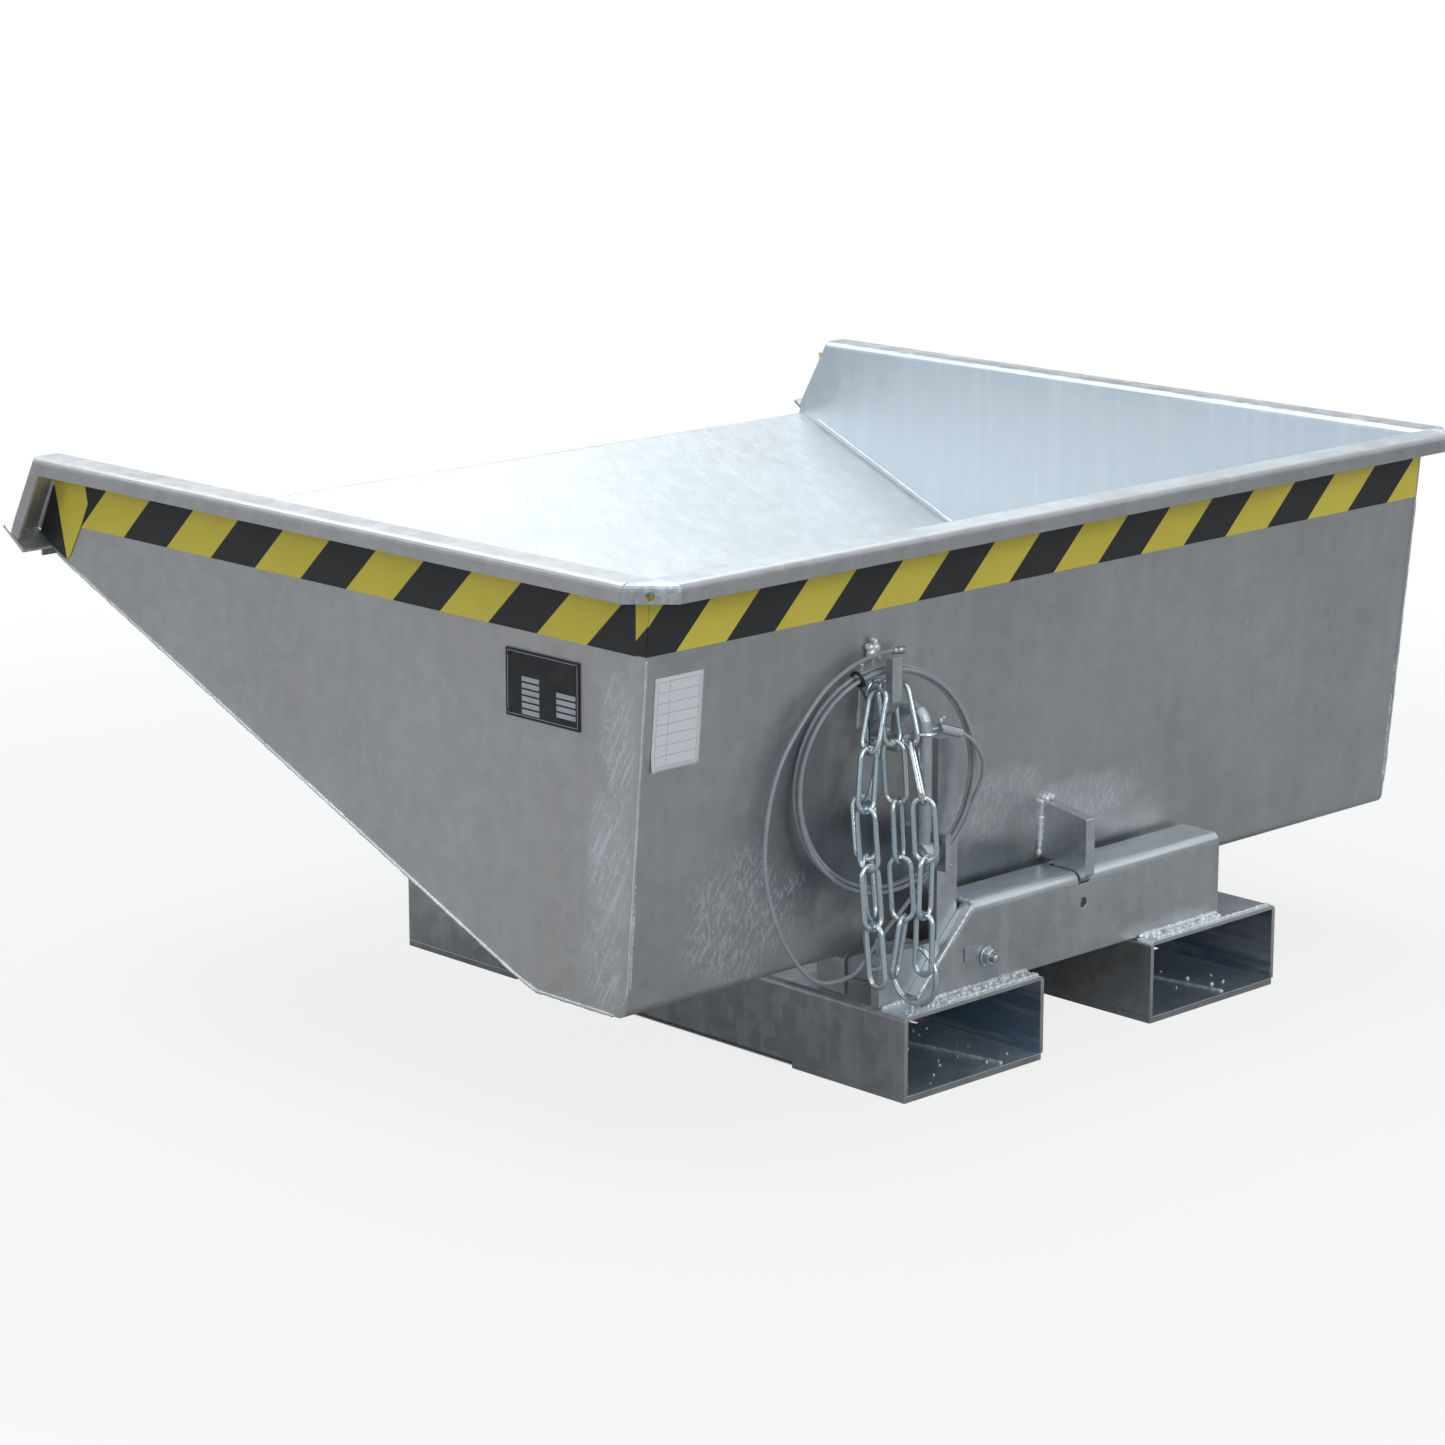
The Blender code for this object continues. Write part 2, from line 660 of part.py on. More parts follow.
# Side walls, each with its rim folded out along the top and down the slanted front edge
front_end = (LIP_Y, lip_z + RIM_DROP / 2)
rim_line = [(REAR_TOP_Y, TUB_TOP), (RIM_FRONT_Y, TUB_TOP), front_end]
rim_inward = [
    (0, -1),
    tuple(a - b for a, b in zip(offset_line(rim_line, -1)[1], rim_line[1])),
    tuple(-n for n in unit(rim_line[1], rim_line[2])[1]),
]
outer_face = [(wall_y(TUB_TOP), TUB_TOP), (REAR_BOTTOM_Y, TUB_BOTTOM), (FLAT_END_Y, TUB_BOTTOM), (LIP_Y, lip_z)]
lower = [p for p, _ in filleted_line(outer_face, [REAR_BEND + inner, SLOPE_BEND + inner], 5)][1:]
lower_first = (wall_y(lower[0][1] + REAR_BEND), lower[0][1] + REAR_BEND)


def rim_profile():
    """(outward, below, share of the wall) points of a wall's folded edge, from the wall's foot round to it."""
    reach = RIM_REACH + SHEET
    lip_inner = RIM_BEND - SHEET
    quarter = math.pi / 2
    points = [(RIM_BEND + u, RIM_BEND + v) for u, v in arc((0, 0), RIM_BEND, -2 * quarter, -quarter, BEND_STEPS)]
    points += [(reach - RIM_BEND + u, RIM_BEND + v)
               for u, v in arc((0, 0), RIM_BEND, -quarter, 0, BEND_STEPS)]
    points += [(reach, RIM_DROP), (reach - SHEET, RIM_DROP)]
    points += [(reach - RIM_BEND + u, RIM_BEND + v)
               for u, v in arc((0, 0), lip_inner, 0, -quarter, BEND_STEPS)]
    points += [(RIM_BEND + u, RIM_BEND + v)
               for u, v in arc((0, 0), lip_inner, -quarter, -2 * quarter, BEND_STEPS)]
    return points


RIM_PROFILE = rim_profile()


def side_section(top, inward, foot, sign):
    """A side wall's section: its foot, then the folded rim at its top."""
    wall_x = half - SHEET
    section = [(sign * wall_x, foot[0], foot[1])]
    for out, below in RIM_PROFILE:
        section.append((sign * (wall_x + out), top[0] + inward[0] * below, top[1] + inward[1] * below))
    section.append((sign * half, foot[0], foot[1]))
    return section


stations = [(rim_line[0], rim_inward[0], lower_first)]
front_foot = len(lower) - 1
for i, foot in enumerate(lower[:-1]):
    share = (i + 1) / (front_foot + 1)
    top_y = max(REAR_TOP_Y + RIM_BEND * (i + 1), foot[0])
    stations.append(((top_y, TUB_TOP), rim_inward[0], foot))
stations.append((rim_line[1], rim_inward[1], (RIM_FRONT_Y, floor_z(RIM_FRONT_Y))))
stations.append((rim_line[2], rim_inward[2], (LIP_Y - END_PLATE_THICK, floor_z(LIP_Y - END_PLATE_THICK))))
for side, sign in (("left", -1), ("right", 1)):
    wall = loft(f"side_wall_{side}", [side_section(*station, sign) for station in stations], mat_tub,
                sheet=True)
    hang_on(wall, TUB_HINGE)

# Rim corners: a triangle of sheet with its lip folded down along the diagonal, and a hole in that lip
corner_x = half + RIM_REACH
corner_y = REAR_TOP_Y - GAP
corner_line = [(-corner_x, corner_y), (-half, rim_y), (-shell_half - GAP, rim_y)]
corner_end_x = corner_line[2][0]


def corner_point(station, inset):
    """A point set in from the corner's outer edge, with its two ends cut square to the walls."""
    line = offset_line(corner_line, inset)
    if station == 0:
        return (corner_line[0][0] + inset * math.sqrt(2), corner_y)
    if station == 2:
        return (corner_end_x, rim_y + inset)
    return line[1]


corner_profile = [(reach, drop) for reach, drop in RIM_PROFILE[BEND_STEPS + 1:3 * BEND_STEPS + 5]]
corner_reach = RIM_REACH + SHEET
corner_inner = [
    (corner_end_x - SHEET, corner_y),
    (corner_end_x - SHEET / 2, corner_y - SHEET / 2),
    (corner_end_x, corner_y - SHEET),
]
for side, sign in (("left", -1), ("right", 1)):
    sections = []
    for k in range(3):
        ends = corner_inner[k]
        section = [(-sign * ends[0], ends[1], TUB_TOP)]
        for out, below in corner_profile:
            x, y = corner_point(k, corner_reach - out)
            section.append((-sign * x, y, TUB_TOP - below))
        section.append((-sign * ends[0], ends[1], TUB_TOP - SHEET))
        sections.append(section)
    corner = loft(f"rim_corner_{side}", sections, mat_rim, sheet=True)
    middle = ((-corner_x - half) / 2, (corner_y + rim_y) / 2, TUB_TOP - RIM_BEND - CORNER_HOLE / 2)
    reach = SHEET + CUT_OVERRUN * 2
    drill = rod(f"corner_cutter_{side}", (-sign * (middle[0] - reach), middle[1] - reach, middle[2]),
                (-sign * (middle[0] + reach * 2), middle[1] + reach * 2, middle[2]), CORNER_HOLE / 2, None, 16)
    hang_on(cut(corner, drill), TUB_HINGE)

# Small plates that close the rim's lower front ends
slant, slant_left = unit(rim_line[1], rim_line[2])
plate_top = (front_end[0] + slant[0] * GAP * 2, front_end[1] + slant[1] * GAP * 2)
plate_slope = math.atan2(slant_left[1], slant_left[0]) + END_PLATE_TURN
plate_along = (math.cos(plate_slope), math.sin(plate_slope))
plate_down = (plate_along[1], -plate_along[0])
plate_outline = [
    (plate_top[0] + plate_along[0] * END_PLATE_FRONT, plate_top[1] + plate_along[1] * END_PLATE_FRONT),
    (plate_top[0] - plate_along[0] * END_PLATE_BACK, plate_top[1] - plate_along[1] * END_PLATE_BACK),
]
plate_outline += [(p[0] + plate_down[0] * END_PLATE_THICK, p[1] + plate_down[1] * END_PLATE_THICK)
                  for p in plate_outline[::-1]]
for side, sign in (("left", -1), ("right", 1)):
    ends = sorted((sign * (half + GAP), sign * (half + RIM_REACH)))
    hang_on(prism(f"rim_end_plate_{side}", plate_outline, "X", *ends, mat_rim, False), TUB_HINGE)

# Pivots: an arm square to the sloping floor between two ears, on a headed pin with a split pin
floor_normal = (-math.sin(FLOOR_SLOPE), math.cos(FLOOR_SLOPE))
floor_along = (math.cos(FLOOR_SLOPE), math.sin(FLOOR_SLOPE))
reach_up = (floor_z(HINGE_Y) - HINGE_Z) * math.cos(FLOOR_SLOPE) - GAP


def arm_point(along, up):
    """A point of the arm, measured along the floor and square to it from the pin."""
    return (HINGE_Y + floor_along[0] * along + floor_normal[0] * up,
            HINGE_Z + floor_along[1] * along + floor_normal[1] * up)


edge_up = reach_up - ARM_FOOT_EDGE
arm_outline = [arm_point(ARM_FOOT_FRONT, edge_up), arm_point(ARM_FOOT_FRONT, reach_up),
               arm_point(-ARM_FOOT_REAR, reach_up), arm_point(-ARM_FOOT_REAR, edge_up)]
eye_turn = math.pi + FLOOR_SLOPE
arm_outline += [arm_point(-ARM_HALF_WIDTH, ARM_EYE_RADIUS)]
arm_outline += arc((HINGE_Y, HINGE_Z), ARM_EYE_RADIUS, eye_turn, eye_turn + math.pi, 12)
arm_outline += [arm_point(ARM_HALF_WIDTH, ARM_EYE_RADIUS)]
ear_outline = [(HINGE_Y + EAR_FOOT_HALF, beam_bottom), (HINGE_Y + EAR_FOOT_HALF, beam_bottom + EAR_EDGE)]
ear_outline += arc((HINGE_Y, HINGE_Z), EAR_RADIUS, math.radians(15), math.radians(165), 14)
ear_outline += [(HINGE_Y - EAR_FOOT_HALF, beam_bottom + EAR_EDGE), (HINGE_Y - EAR_FOOT_HALF, beam_bottom)]
bore = PIN_DIAMETER / 2 + PIN_PLAY / 2
ear_gap = ARM_THICK / 2 + ARM_SIDE_PLAY
ear_out = ear_gap + EAR_THICK
for side, sign in (("left", -1), ("right", 1)):
    middle = sign * PIVOT_X
    arm = prism(f"pivot_arm_{side}", arm_outline, "X", middle - ARM_THICK / 2, middle + ARM_THICK / 2, mat_fitting)
    cut(arm, rod(f"arm_cutter_{side}", (middle - ear_gap, HINGE_Y, HINGE_Z), (middle + ear_gap, HINGE_Y, HINGE_Z),
                 bore))
    hang_on(arm, TUB_HINGE)
    for place, low_x in (("inner", middle - sign * ear_gap - (EAR_THICK if sign > 0 else 0)),
                         ("outer", middle + sign * ear_gap - (EAR_THICK if sign < 0 else 0))):
        ear = prism(f"pivot_ear_{side}_{place}", ear_outline, "X", low_x, low_x + EAR_THICK, mat_fitting)
        cut(ear, rod(f"ear_cutter_{side}_{place}", (low_x - CUT_OVERRUN, HINGE_Y, HINGE_Z),
                     (low_x + EAR_THICK + CUT_OVERRUN, HINGE_Y, HINGE_Z), bore))
        hang_on(ear, SKIP)
    head = sign * (PIN_HEAD + GAP)
    start = (middle + sign * ear_out + head, HINGE_Y, HINGE_Z)
    far = (middle - sign * (ear_out + PIN_END), HINGE_Y, HINGE_Z)
    length = 2 * ear_out + PIN_HEAD + GAP + PIN_END
    radius = PIN_DIAMETER / 2
    pin = turned(f"pivot_pin_{side}", start, far, [
        (0, PIN_HEAD_DIAMETER / 2 - PIN_CHAMFER), (PIN_CHAMFER, PIN_HEAD_DIAMETER / 2),
        (PIN_HEAD, PIN_HEAD_DIAMETER / 2), (PIN_HEAD, radius),
        (length - PIN_CHAMFER, radius), (length, radius - PIN_CHAMFER)], mat_fitting)
    split_x = middle - sign * (ear_out + PIN_END / 2)
    split_reach = PIN_DIAMETER / 2 + SPLIT_PIN
    join(pin, rod(f"split_pin_{side}", (split_x, HINGE_Y - split_reach, HINGE_Z),
                  (split_x, HINGE_Y + split_reach, HINGE_Z), SPLIT_PIN / 2, None, 8))
    hang_on(pin, SKIP)

# Latch post behind the beam's chamfered end, widened at its foot
post_y = BEAM_Y + BEAM_RETURN_DEPTH + GAP
post_right = POST_LEFT_X + POST_WIDTH
post_outline = [(post_right, beam_bottom), (post_right, POST_TOP), (POST_LEFT_X, POST_TOP),
                (POST_LEFT_X, FOOT_TOP), (FOOT_LEFT_X, FOOT_TOP), (FOOT_LEFT_X, beam_bottom)]
hang_on(prism("latch_post", post_outline, "Y", post_y, post_y + POST_THICK, mat_base, False), SKIP)

# Latch bracket: a bent plate behind the post, its leg reaching past the post's side to the pin
base_y = post_y + POST_THICK + GAP
bracket_face = [(BRACKET_LEG_X, BRACKET_FRONT_Y), (BRACKET_LEG_X, base_y + BRACKET_THICK),
                (post_right, base_y + BRACKET_THICK)]
bracket = prism("latch_bracket", folded_sheet(bracket_face, [BRACKET_BEND - BRACKET_THICK / 2], BRACKET_THICK), "Z",
                BRACKET_BOTTOM, BRACKET_TOP, mat_fitting)
pin_bore = LATCH_PIN / 2 + PIN_PLAY / 2
bracket_right = BRACKET_LEG_X + BRACKET_THICK
cut(bracket, rod("bracket_cutter", (BRACKET_LEG_X - CUT_OVERRUN, LATCH_Y, LATCH_Z),
                 (bracket_right + CUT_OVERRUN, LATCH_Y, LATCH_Z), pin_bore))
hang_on(bracket, SKIP)

# Latch pin through the bracket's leg and the lever's eye
eye_left = LATCH_X - LATCH_EYE_WIDTH / 2
eye_right = LATCH_X + LATCH_EYE_WIDTH / 2
washer_left = eye_left - GAP - LATCH_WASHER
nut_start = bracket_right + GAP
pin_radius = LATCH_PIN / 2
end_length = nut_start + LATCH_PIN_HEAD_THICK - washer_left
hang_on(turned("latch_pin", (washer_left, LATCH_Y, LATCH_Z), (nut_start, LATCH_Y, LATCH_Z), [
    (0, LATCH_PIN_HEAD / 2), (LATCH_WASHER, LATCH_PIN_HEAD / 2), (LATCH_WASHER, pin_radius),
    (nut_start - washer_left, pin_radius), (nut_start - washer_left, LATCH_PIN_HEAD / 2),
    (end_length, LATCH_PIN_HEAD / 2)], mat_fitting, 18), SKIP)

# Latch lever: a round bar bent over at the top like a cane, with an eye at its foot
bar = LATCH_BAR / 2
arch_y = LATCH_Y + LATCH_ARCH_RADIUS
bar_path = [(LATCH_X, LATCH_Y, LATCH_Z + LATCH_EYE_RADIUS / 2)]
bar_path += [(LATCH_X, y, z) for y, z in arc((arch_y, LATCH_ARCH_Z), LATCH_ARCH_RADIUS, math.pi, 0, 10)]
bar_path.append((LATCH_X, arch_y + LATCH_ARCH_RADIUS, LATCH_TIP_Z))
lever = tube("latch_lever", bar_path, bar, 16, False, mat_fitting)
join(lever, rod("lever_eye", (eye_left, LATCH_Y, LATCH_Z), (eye_right, LATCH_Y, LATCH_Z), LATCH_EYE_RADIUS))
cut(lever, rod("lever_cutter", (eye_left - CUT_OVERRUN, LATCH_Y, LATCH_Z),
               (eye_right + CUT_OVERRUN, LATCH_Y, LATCH_Z), pin_bore))
hang_on(lever, LATCH_HINGE)

# Catch lug welded to the rear wall under the latch's hook
lug_bottom = LUG_TOP - LUG_HEIGHT
lug_outline = rounded_outline([
    (LUG_FRONT_Y, lug_bottom), (LUG_FRONT_Y, LUG_TOP),
    (wall_y(LUG_TOP) - GAP, LUG_TOP), (wall_y(lug_bottom) - GAP, lug_bottom)], [LUG_CORNER, LUG_CORNER, 0, 0])
hang_on(prism("catch_lug", lug_outline, "X", LATCH_X - LUG_WIDTH / 2, LATCH_X + LUG_WIDTH / 2, mat_fitting),
        TUB_HINGE)

# Centring plate
fin_outline = rounded_outline([
    (wall_y(FIN_WALL_TOP) - GAP, FIN_WALL_TOP),
    (FIN_OUTER_Y, FIN_OUTER_TOP),
    (FIN_OUTER_Y, FIN_BOTTOM + FIN_TOE),
    (FIN_OUTER_Y + FIN_TOE, FIN_BOTTOM),
    (fin_toe_y - SLOT_END_PLAY, FIN_BOTTOM),
    (fin_toe_y - SLOT_END_PLAY + FIN_TOE / 2, FIN_STEP),
    (wall_y(FIN_STEP) - GAP, FIN_STEP),
], [0, FIN_NOSE, 0, 0, 0, 0, 0])
hang_on(prism("centring_plate", fin_outline, "X", -FIN_THICK / 2, FIN_THICK / 2, mat_fitting), TUB_HINGE)

# Hook plate with its saddle
nose_back = HOOK_NOSE_Y + HOOK_NOSE_THICK
hook_outline = rounded_outline([
    (wall_y(HOOK_WALL_TOP) - GAP, HOOK_WALL_TOP),
    (wall_y(HOOK_SADDLE) - GAP, HOOK_SADDLE),
    (nose_back, HOOK_SADDLE),
    (nose_back, HOOK_NOSE_TOP),
    (HOOK_NOSE_Y, HOOK_NOSE_TOP),
    (HOOK_NOSE_Y, HOOK_CHIN),
    (HOOK_CHIN_Y, HOOK_CHIN_BOTTOM),
    (wall_y(HOOK_WALL_BOTTOM) - GAP, HOOK_WALL_BOTTOM),
], [0, 0, HOOK_FILLET / 2, 0, 0, HOOK_FILLET, 0, 0])
hang_on(prism("hook_plate", hook_outline, "X", HOOK_LEFT_X, HOOK_LEFT_X + HOOK_THICK, mat_fitting), TUB_HINGE)

# Keeper bolt through the beam, and the lock plate beside it
keeper_y = BEAM_Y - GAP
keeper = rod("keeper_bolt", (KEEPER_X, keeper_y, KEEPER_Z), (KEEPER_X, keeper_y - KEEPER_REACH, KEEPER_Z),
             KEEPER_STUD / 2, mat_bright, 16)
join(keeper, hexagon("keeper_nut", (KEEPER_X, keeper_y, KEEPER_Z), "Y", KEEPER_NUT, KEEPER_NUT_HEIGHT))
hang_on(keeper, SKIP)
hang_on(slab("lock_plate", (LOCK_X, LOCK_X + LOCK_WIDTH - KEEPER_NUT / 2), (keeper_y - LOCK_THICK, keeper_y),
             (LOCK_Z, LOCK_Z + LOCK_HEIGHT), mat_fitting), SKIP)

# Type plate on the left wall, left bare, with a rivet at each corner
plate_x = -half - GAP
plate_z = TUB_TOP - PLATE_HEIGHT - PLATE_DROP
plate = slab("type_plate", (plate_x - PLATE_THICK, plate_x), (PLATE_Y, PLATE_Y + PLATE_LENGTH),
             (plate_z, plate_z + PLATE_HEIGHT), mat_plate)
for i, (y, z) in enumerate((u, v) for u in (PLATE_Y + PLATE_RIVET_EDGE, PLATE_Y + PLATE_LENGTH - PLATE_RIVET_EDGE)
                           for v in (plate_z + PLATE_RIVET_EDGE, plate_z + PLATE_HEIGHT - PLATE_RIVET_EDGE)):
    join(plate, rod(f"plate_rivet_{i}", (plate_x - PLATE_THICK / 2, y, z),
                    (plate_x - PLATE_THICK - PLATE_RIVET_HEAD, y, z), PLATE_RIVET / 2, None, 10))
hang_on(plate, TUB_HINGE)


# Safety chain

def link_path(centre, along, across):
    """Middle line of one link, lying along a direction and wide across another."""
    radius = (CHAIN_INNER_WIDTH + CHAIN_WIRE) / 2
    straight = CHAIN_PITCH / 2 + CHAIN_WIRE / 2 - radius
    points = []
    for sign in (1, -1):
        for u, v in arc((0, 0), radius, 0, math.pi, CHAIN_END_STEPS):
            points.append(centre + along * sign * (straight + v) + across * sign * u)
    return points


def shells(name, paths):
    """Several links that don't touch each other, as one mesh."""
    made = [tube(f"{name}_{i}", path, CHAIN_WIRE / 2, CHAIN_SIDES, True) for i, path in enumerate(paths)]
    mesh = bpy.data.meshes.new(name)
    vertices, faces = [], []
    for thing in made:
        base = len(vertices)
        vertices += [tuple(v.co) for v in thing.data.vertices]
        faces += [tuple(base + v for v in face.vertices) for face in thing.data.polygons]
        bpy.data.objects.remove(thing)
    mesh.from_pydata(vertices, [], faces)
    mesh.shade_smooth()
    thing = bpy.data.objects.new(name, mesh)
    bpy.context.scene.collection.objects.link(thing)
    return thing


def chain_joints(route, links):
    """The places where a strand's links bear on each other, one step apart, heading along a route."""
    joints = [Vector(route[0])]
    for i in range(links):
        heading = (Vector(route[min(i + 1, len(route) - 1)]) - joints[-1]).normalized()
        joints.append(joints[-1] + heading * (CHAIN_PITCH + CHAIN_BEAR))
    return joints


def chain_strand(name, route, first_across, links):
    """Links hanging one in the next, each turned a quarter from the last."""
    joints = chain_joints(route, links)
    groups = ([], [])
    for i in range(links):
        along = (joints[i + 1] - joints[i]).normalized()
        across = Vector(first_across)
        across = (across - along * across.dot(along)).normalized()
        if i % 2 == 1:
            across = along.cross(across)
        groups[i % 2].append(link_path((joints[i] + joints[i + 1]) / 2, along, across))
    strand = shells(name, groups[0])
    strand.data.materials.append(mat_bright)
    join(strand, shells(f"{name}_turned", groups[1]))
    return hang_on(strand, TUB_HINGE)


ACROSS_X = (1, 0, 0)
ACROSS_Y = (0, 1, 0)
chain_strand("chain_strand_middle", STRAND_MIDDLE_ROUTE, ACROSS_X, CHAIN_LINKS)
chain_strand("chain_strand_front", STRAND_FRONT_ROUTE, ACROSS_Y, CHAIN_LINKS)
chain_strand("chain_strand_left", STRAND_LEFT_ROUTE, ACROSS_Y, CHAIN_LINKS_LEFT)

ring_radius = (CHAIN_RING_DIAMETER - CHAIN_RING_WIRE) / 2
ring_x, ring_y, ring_z = CHAIN_RING_PLACE
ring_path = [(ring_x, y, z) for y, z in arc((ring_y, ring_z), ring_radius, 0, math.tau, CHAIN_RING_STEPS)[:-1]]
hang_on(tube("chain_ring", ring_path, CHAIN_RING_WIRE / 2, 8, True, mat_bright), TUB_HINGE)

# Quick link below the left strand, with a hexagonal nut on one side
quick_radius = (QUICK_WIDTH - QUICK_WIRE) / 2
quick_straight = QUICK_LENGTH / 2 - QUICK_WIRE / 2 - quick_radius
left_joints = chain_joints(STRAND_LEFT_ROUTE, CHAIN_LINKS_LEFT)
left_along = (left_joints[-1] - left_joints[-2]).normalized()
flat_share = 1 - math.cos(math.pi / (2 * CHAIN_END_STEPS))
end_flats = flat_share * ((CHAIN_INNER_WIDTH + CHAIN_WIRE) / 2 + quick_radius)
left_end = left_joints[-1] + left_along * (CHAIN_WIRE - CHAIN_BEAR / 2 + GAP - end_flats)
quick_middle = left_end + left_along * QUICK_LENGTH / 2
quick_across = Vector(ACROSS_Y)
quick_across = (quick_across - left_along * quick_across.dot(left_along)).normalized()
quick_path = []
for sign in (1, -1):
    for u, v in arc((0, 0), quick_radius, 0, math.pi, CHAIN_END_STEPS):
        quick_path.append(quick_middle + left_along * sign * (quick_straight + v) + quick_across * sign * u)
quick = tube("quick_link", quick_path, QUICK_WIRE / 2, 8, True, mat_bright)
nut_middle = quick_middle - quick_across * quick_radius
nut_half = left_along * QUICK_NUT_LENGTH / 2
join(quick, rod("quick_nut", nut_middle - nut_half, nut_middle + nut_half, QUICK_NUT / 2, None, 6))
hang_on(quick, TUB_HINGE)


# Release cable

def coil_place(turn_angle, lay):
    """A point of the coil: an upright oval whose bundle of turns lies round its middle line."""
    mean = (COIL_RIGHT_Y + COIL_LEFT_Y + COIL_TOP_Y + COIL_LOW_Y) / 4
    twist = (COIL_RIGHT_Y + COIL_LEFT_Y - COIL_TOP_Y - COIL_LOW_Y) / 4
    c, s = math.cos(turn_angle), math.sin(turn_angle)
    y = (mean + (COIL_RIGHT_Y - COIL_LEFT_Y) / 2 * c + (COIL_TOP_Y - COIL_LOW_Y) / 2 * s
         + twist * math.cos(2 * turn_angle))
    out = COIL_BUNDLE * math.cos(lay)
    deep = COIL_BUNDLE * math.sin(lay)
    return Vector((COIL_X + (COIL_RADIUS_X + out) * c, y + deep, COIL_Z + (COIL_RADIUS_Z + out) * s))


sweep = math.tau * CABLE_TURNS + (COIL_START - COIL_END)
coil_count = round(sweep / math.tau * CABLE_TURN_POINTS)
coil_points = []
for k in range(coil_count + 1):
    done = sweep * k / coil_count
    coil_points.append(coil_place(COIL_START - done, COIL_FIRST_LAY - done / COIL_BUNDLE_LAYS))


def straight_end(points, first):
    """Adds a straight stretch of one cord diameter beyond a wound end."""
    near, next_one = (points[0], points[1]) if first else (points[-1], points[-2])
    out = near + (near - next_one).normalized() * CABLE
    return [out] + points if first else points + [out]


coil_points = straight_end(straight_end(coil_points, True), False)
least = min((coil_points[i] - coil_points[j]).length
            for i in range(len(coil_points)) for j in range(i + CABLE_TURN_POINTS // 2, len(coil_points)))
print(f"Least gap of the coiled cable to itself, on its points: {(least - CABLE) * 1000:.2f} mm")
coil = hang_on(cord("release_cable_coil", coil_points, CABLE, 1, mat_cable), TUB_HINGE)

# Sleeve with its eye round the latch, then the free stretch into the coil
sleeve_start, sleeve_end = Vector(SLEEVE_START), Vector(SLEEVE_END)
sleeve_along = (sleeve_end - sleeve_start).normalized()
eye_radius = bar + EYE_PLAY + CABLE / 2
around = Vector((LATCH_X, LATCH_Y, sleeve_start.z))
toward = (sleeve_start - around)
toward.z = 0
toward.normalize()
aside = Vector((-toward.y, toward.x, 0))
eye_path = [sleeve_start + sleeve_along * CABLE + aside * CABLE / 4]
for k in range(EYE_STEPS + 1):
    angle = math.pi / 3 + (math.tau - math.tau / 3) * k / EYE_STEPS
    eye_path.append(around + (toward * math.cos(angle) + aside * math.sin(angle)) * eye_radius)
eye_path.append(sleeve_start + sleeve_along * CABLE - aside * CABLE / 4)
ferrule = rod("cable_ferrule", sleeve_start, sleeve_end, SLEEVE / 2, mat_fitting, 14)
join(ferrule, tube("ferrule_eye", eye_path, CABLE / 2, 8, False))
hang_on(ferrule, LATCH_HINGE)

into_coil = (coil_points[1] - coil_points[0]).normalized()
run_start = sleeve_end + sleeve_along * GAP * 2
run_end = coil_points[0] - into_coil * GAP
run_route = [run_start + sleeve_along * CABLE] + [Vector(p) for p in CABLE_RUN_ROUTE]
run_route.append(run_end - into_coil * CABLE)
run_points = [run_start] + smooth_route(run_route, CABLE * 2) + [run_end]
hang_on(cord("release_cable_run", run_points, CABLE, 2, mat_cable), TUB_HINGE)

from_coil = (coil_points[-1] - coil_points[-2]).normalized()
tail_start = coil_points[-1] + from_coil * GAP
tail_route = [tail_start + from_coil * CABLE]
tail_route += [Vector(p) for p in CABLE_TAIL_ROUTE]
tail_points = [tail_start] + smooth_route(tail_route, CABLE * 2.9)
hang_on(cord("release_cable_tail", tail_points, CABLE, 2, mat_cable), TUB_HINGE)
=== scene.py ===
"""Looks of a forklift tipping skip: galvanised sheet, hazard tape, a safety chain and a release cable.

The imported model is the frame, and everything here is drawn round it. Lengths are in metres. The shapes are
laid out as in the part's source, with Y = 0 at the fork pockets' rear faces, and moved by MIDDLE_Y on use.
"""

import json
import logging
import math
from dataclasses import dataclass
from enum import Enum
from typing import Optional, Sequence

import bpy
import numpy as np
import numpy.typing as npt
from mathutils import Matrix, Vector

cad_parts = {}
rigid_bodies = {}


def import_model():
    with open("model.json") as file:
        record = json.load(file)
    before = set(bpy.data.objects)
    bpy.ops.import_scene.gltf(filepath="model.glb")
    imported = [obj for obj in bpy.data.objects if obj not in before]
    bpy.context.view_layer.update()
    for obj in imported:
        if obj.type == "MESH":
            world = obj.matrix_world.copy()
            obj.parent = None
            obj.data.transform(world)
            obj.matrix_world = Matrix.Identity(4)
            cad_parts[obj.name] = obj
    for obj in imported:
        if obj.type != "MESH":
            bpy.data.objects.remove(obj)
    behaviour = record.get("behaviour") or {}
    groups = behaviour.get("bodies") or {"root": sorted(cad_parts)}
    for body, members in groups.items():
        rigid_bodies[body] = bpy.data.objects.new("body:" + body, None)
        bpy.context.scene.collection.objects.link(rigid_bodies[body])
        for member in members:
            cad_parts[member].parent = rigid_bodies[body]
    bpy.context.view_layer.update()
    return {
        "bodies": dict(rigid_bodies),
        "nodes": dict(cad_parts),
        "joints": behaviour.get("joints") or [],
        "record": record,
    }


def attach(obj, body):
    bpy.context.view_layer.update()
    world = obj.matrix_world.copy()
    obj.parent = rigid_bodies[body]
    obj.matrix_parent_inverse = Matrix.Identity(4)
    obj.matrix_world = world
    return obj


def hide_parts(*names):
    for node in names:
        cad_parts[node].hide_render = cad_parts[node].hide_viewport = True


Points = npt.NDArray[np.float64]
Faces = npt.NDArray[np.int64]
Colour = tuple[float, float, float]
Triple = tuple[float, float, float]
Profile = tuple[tuple[float, float], ...]
Socket = bpy.types.NodeSocket
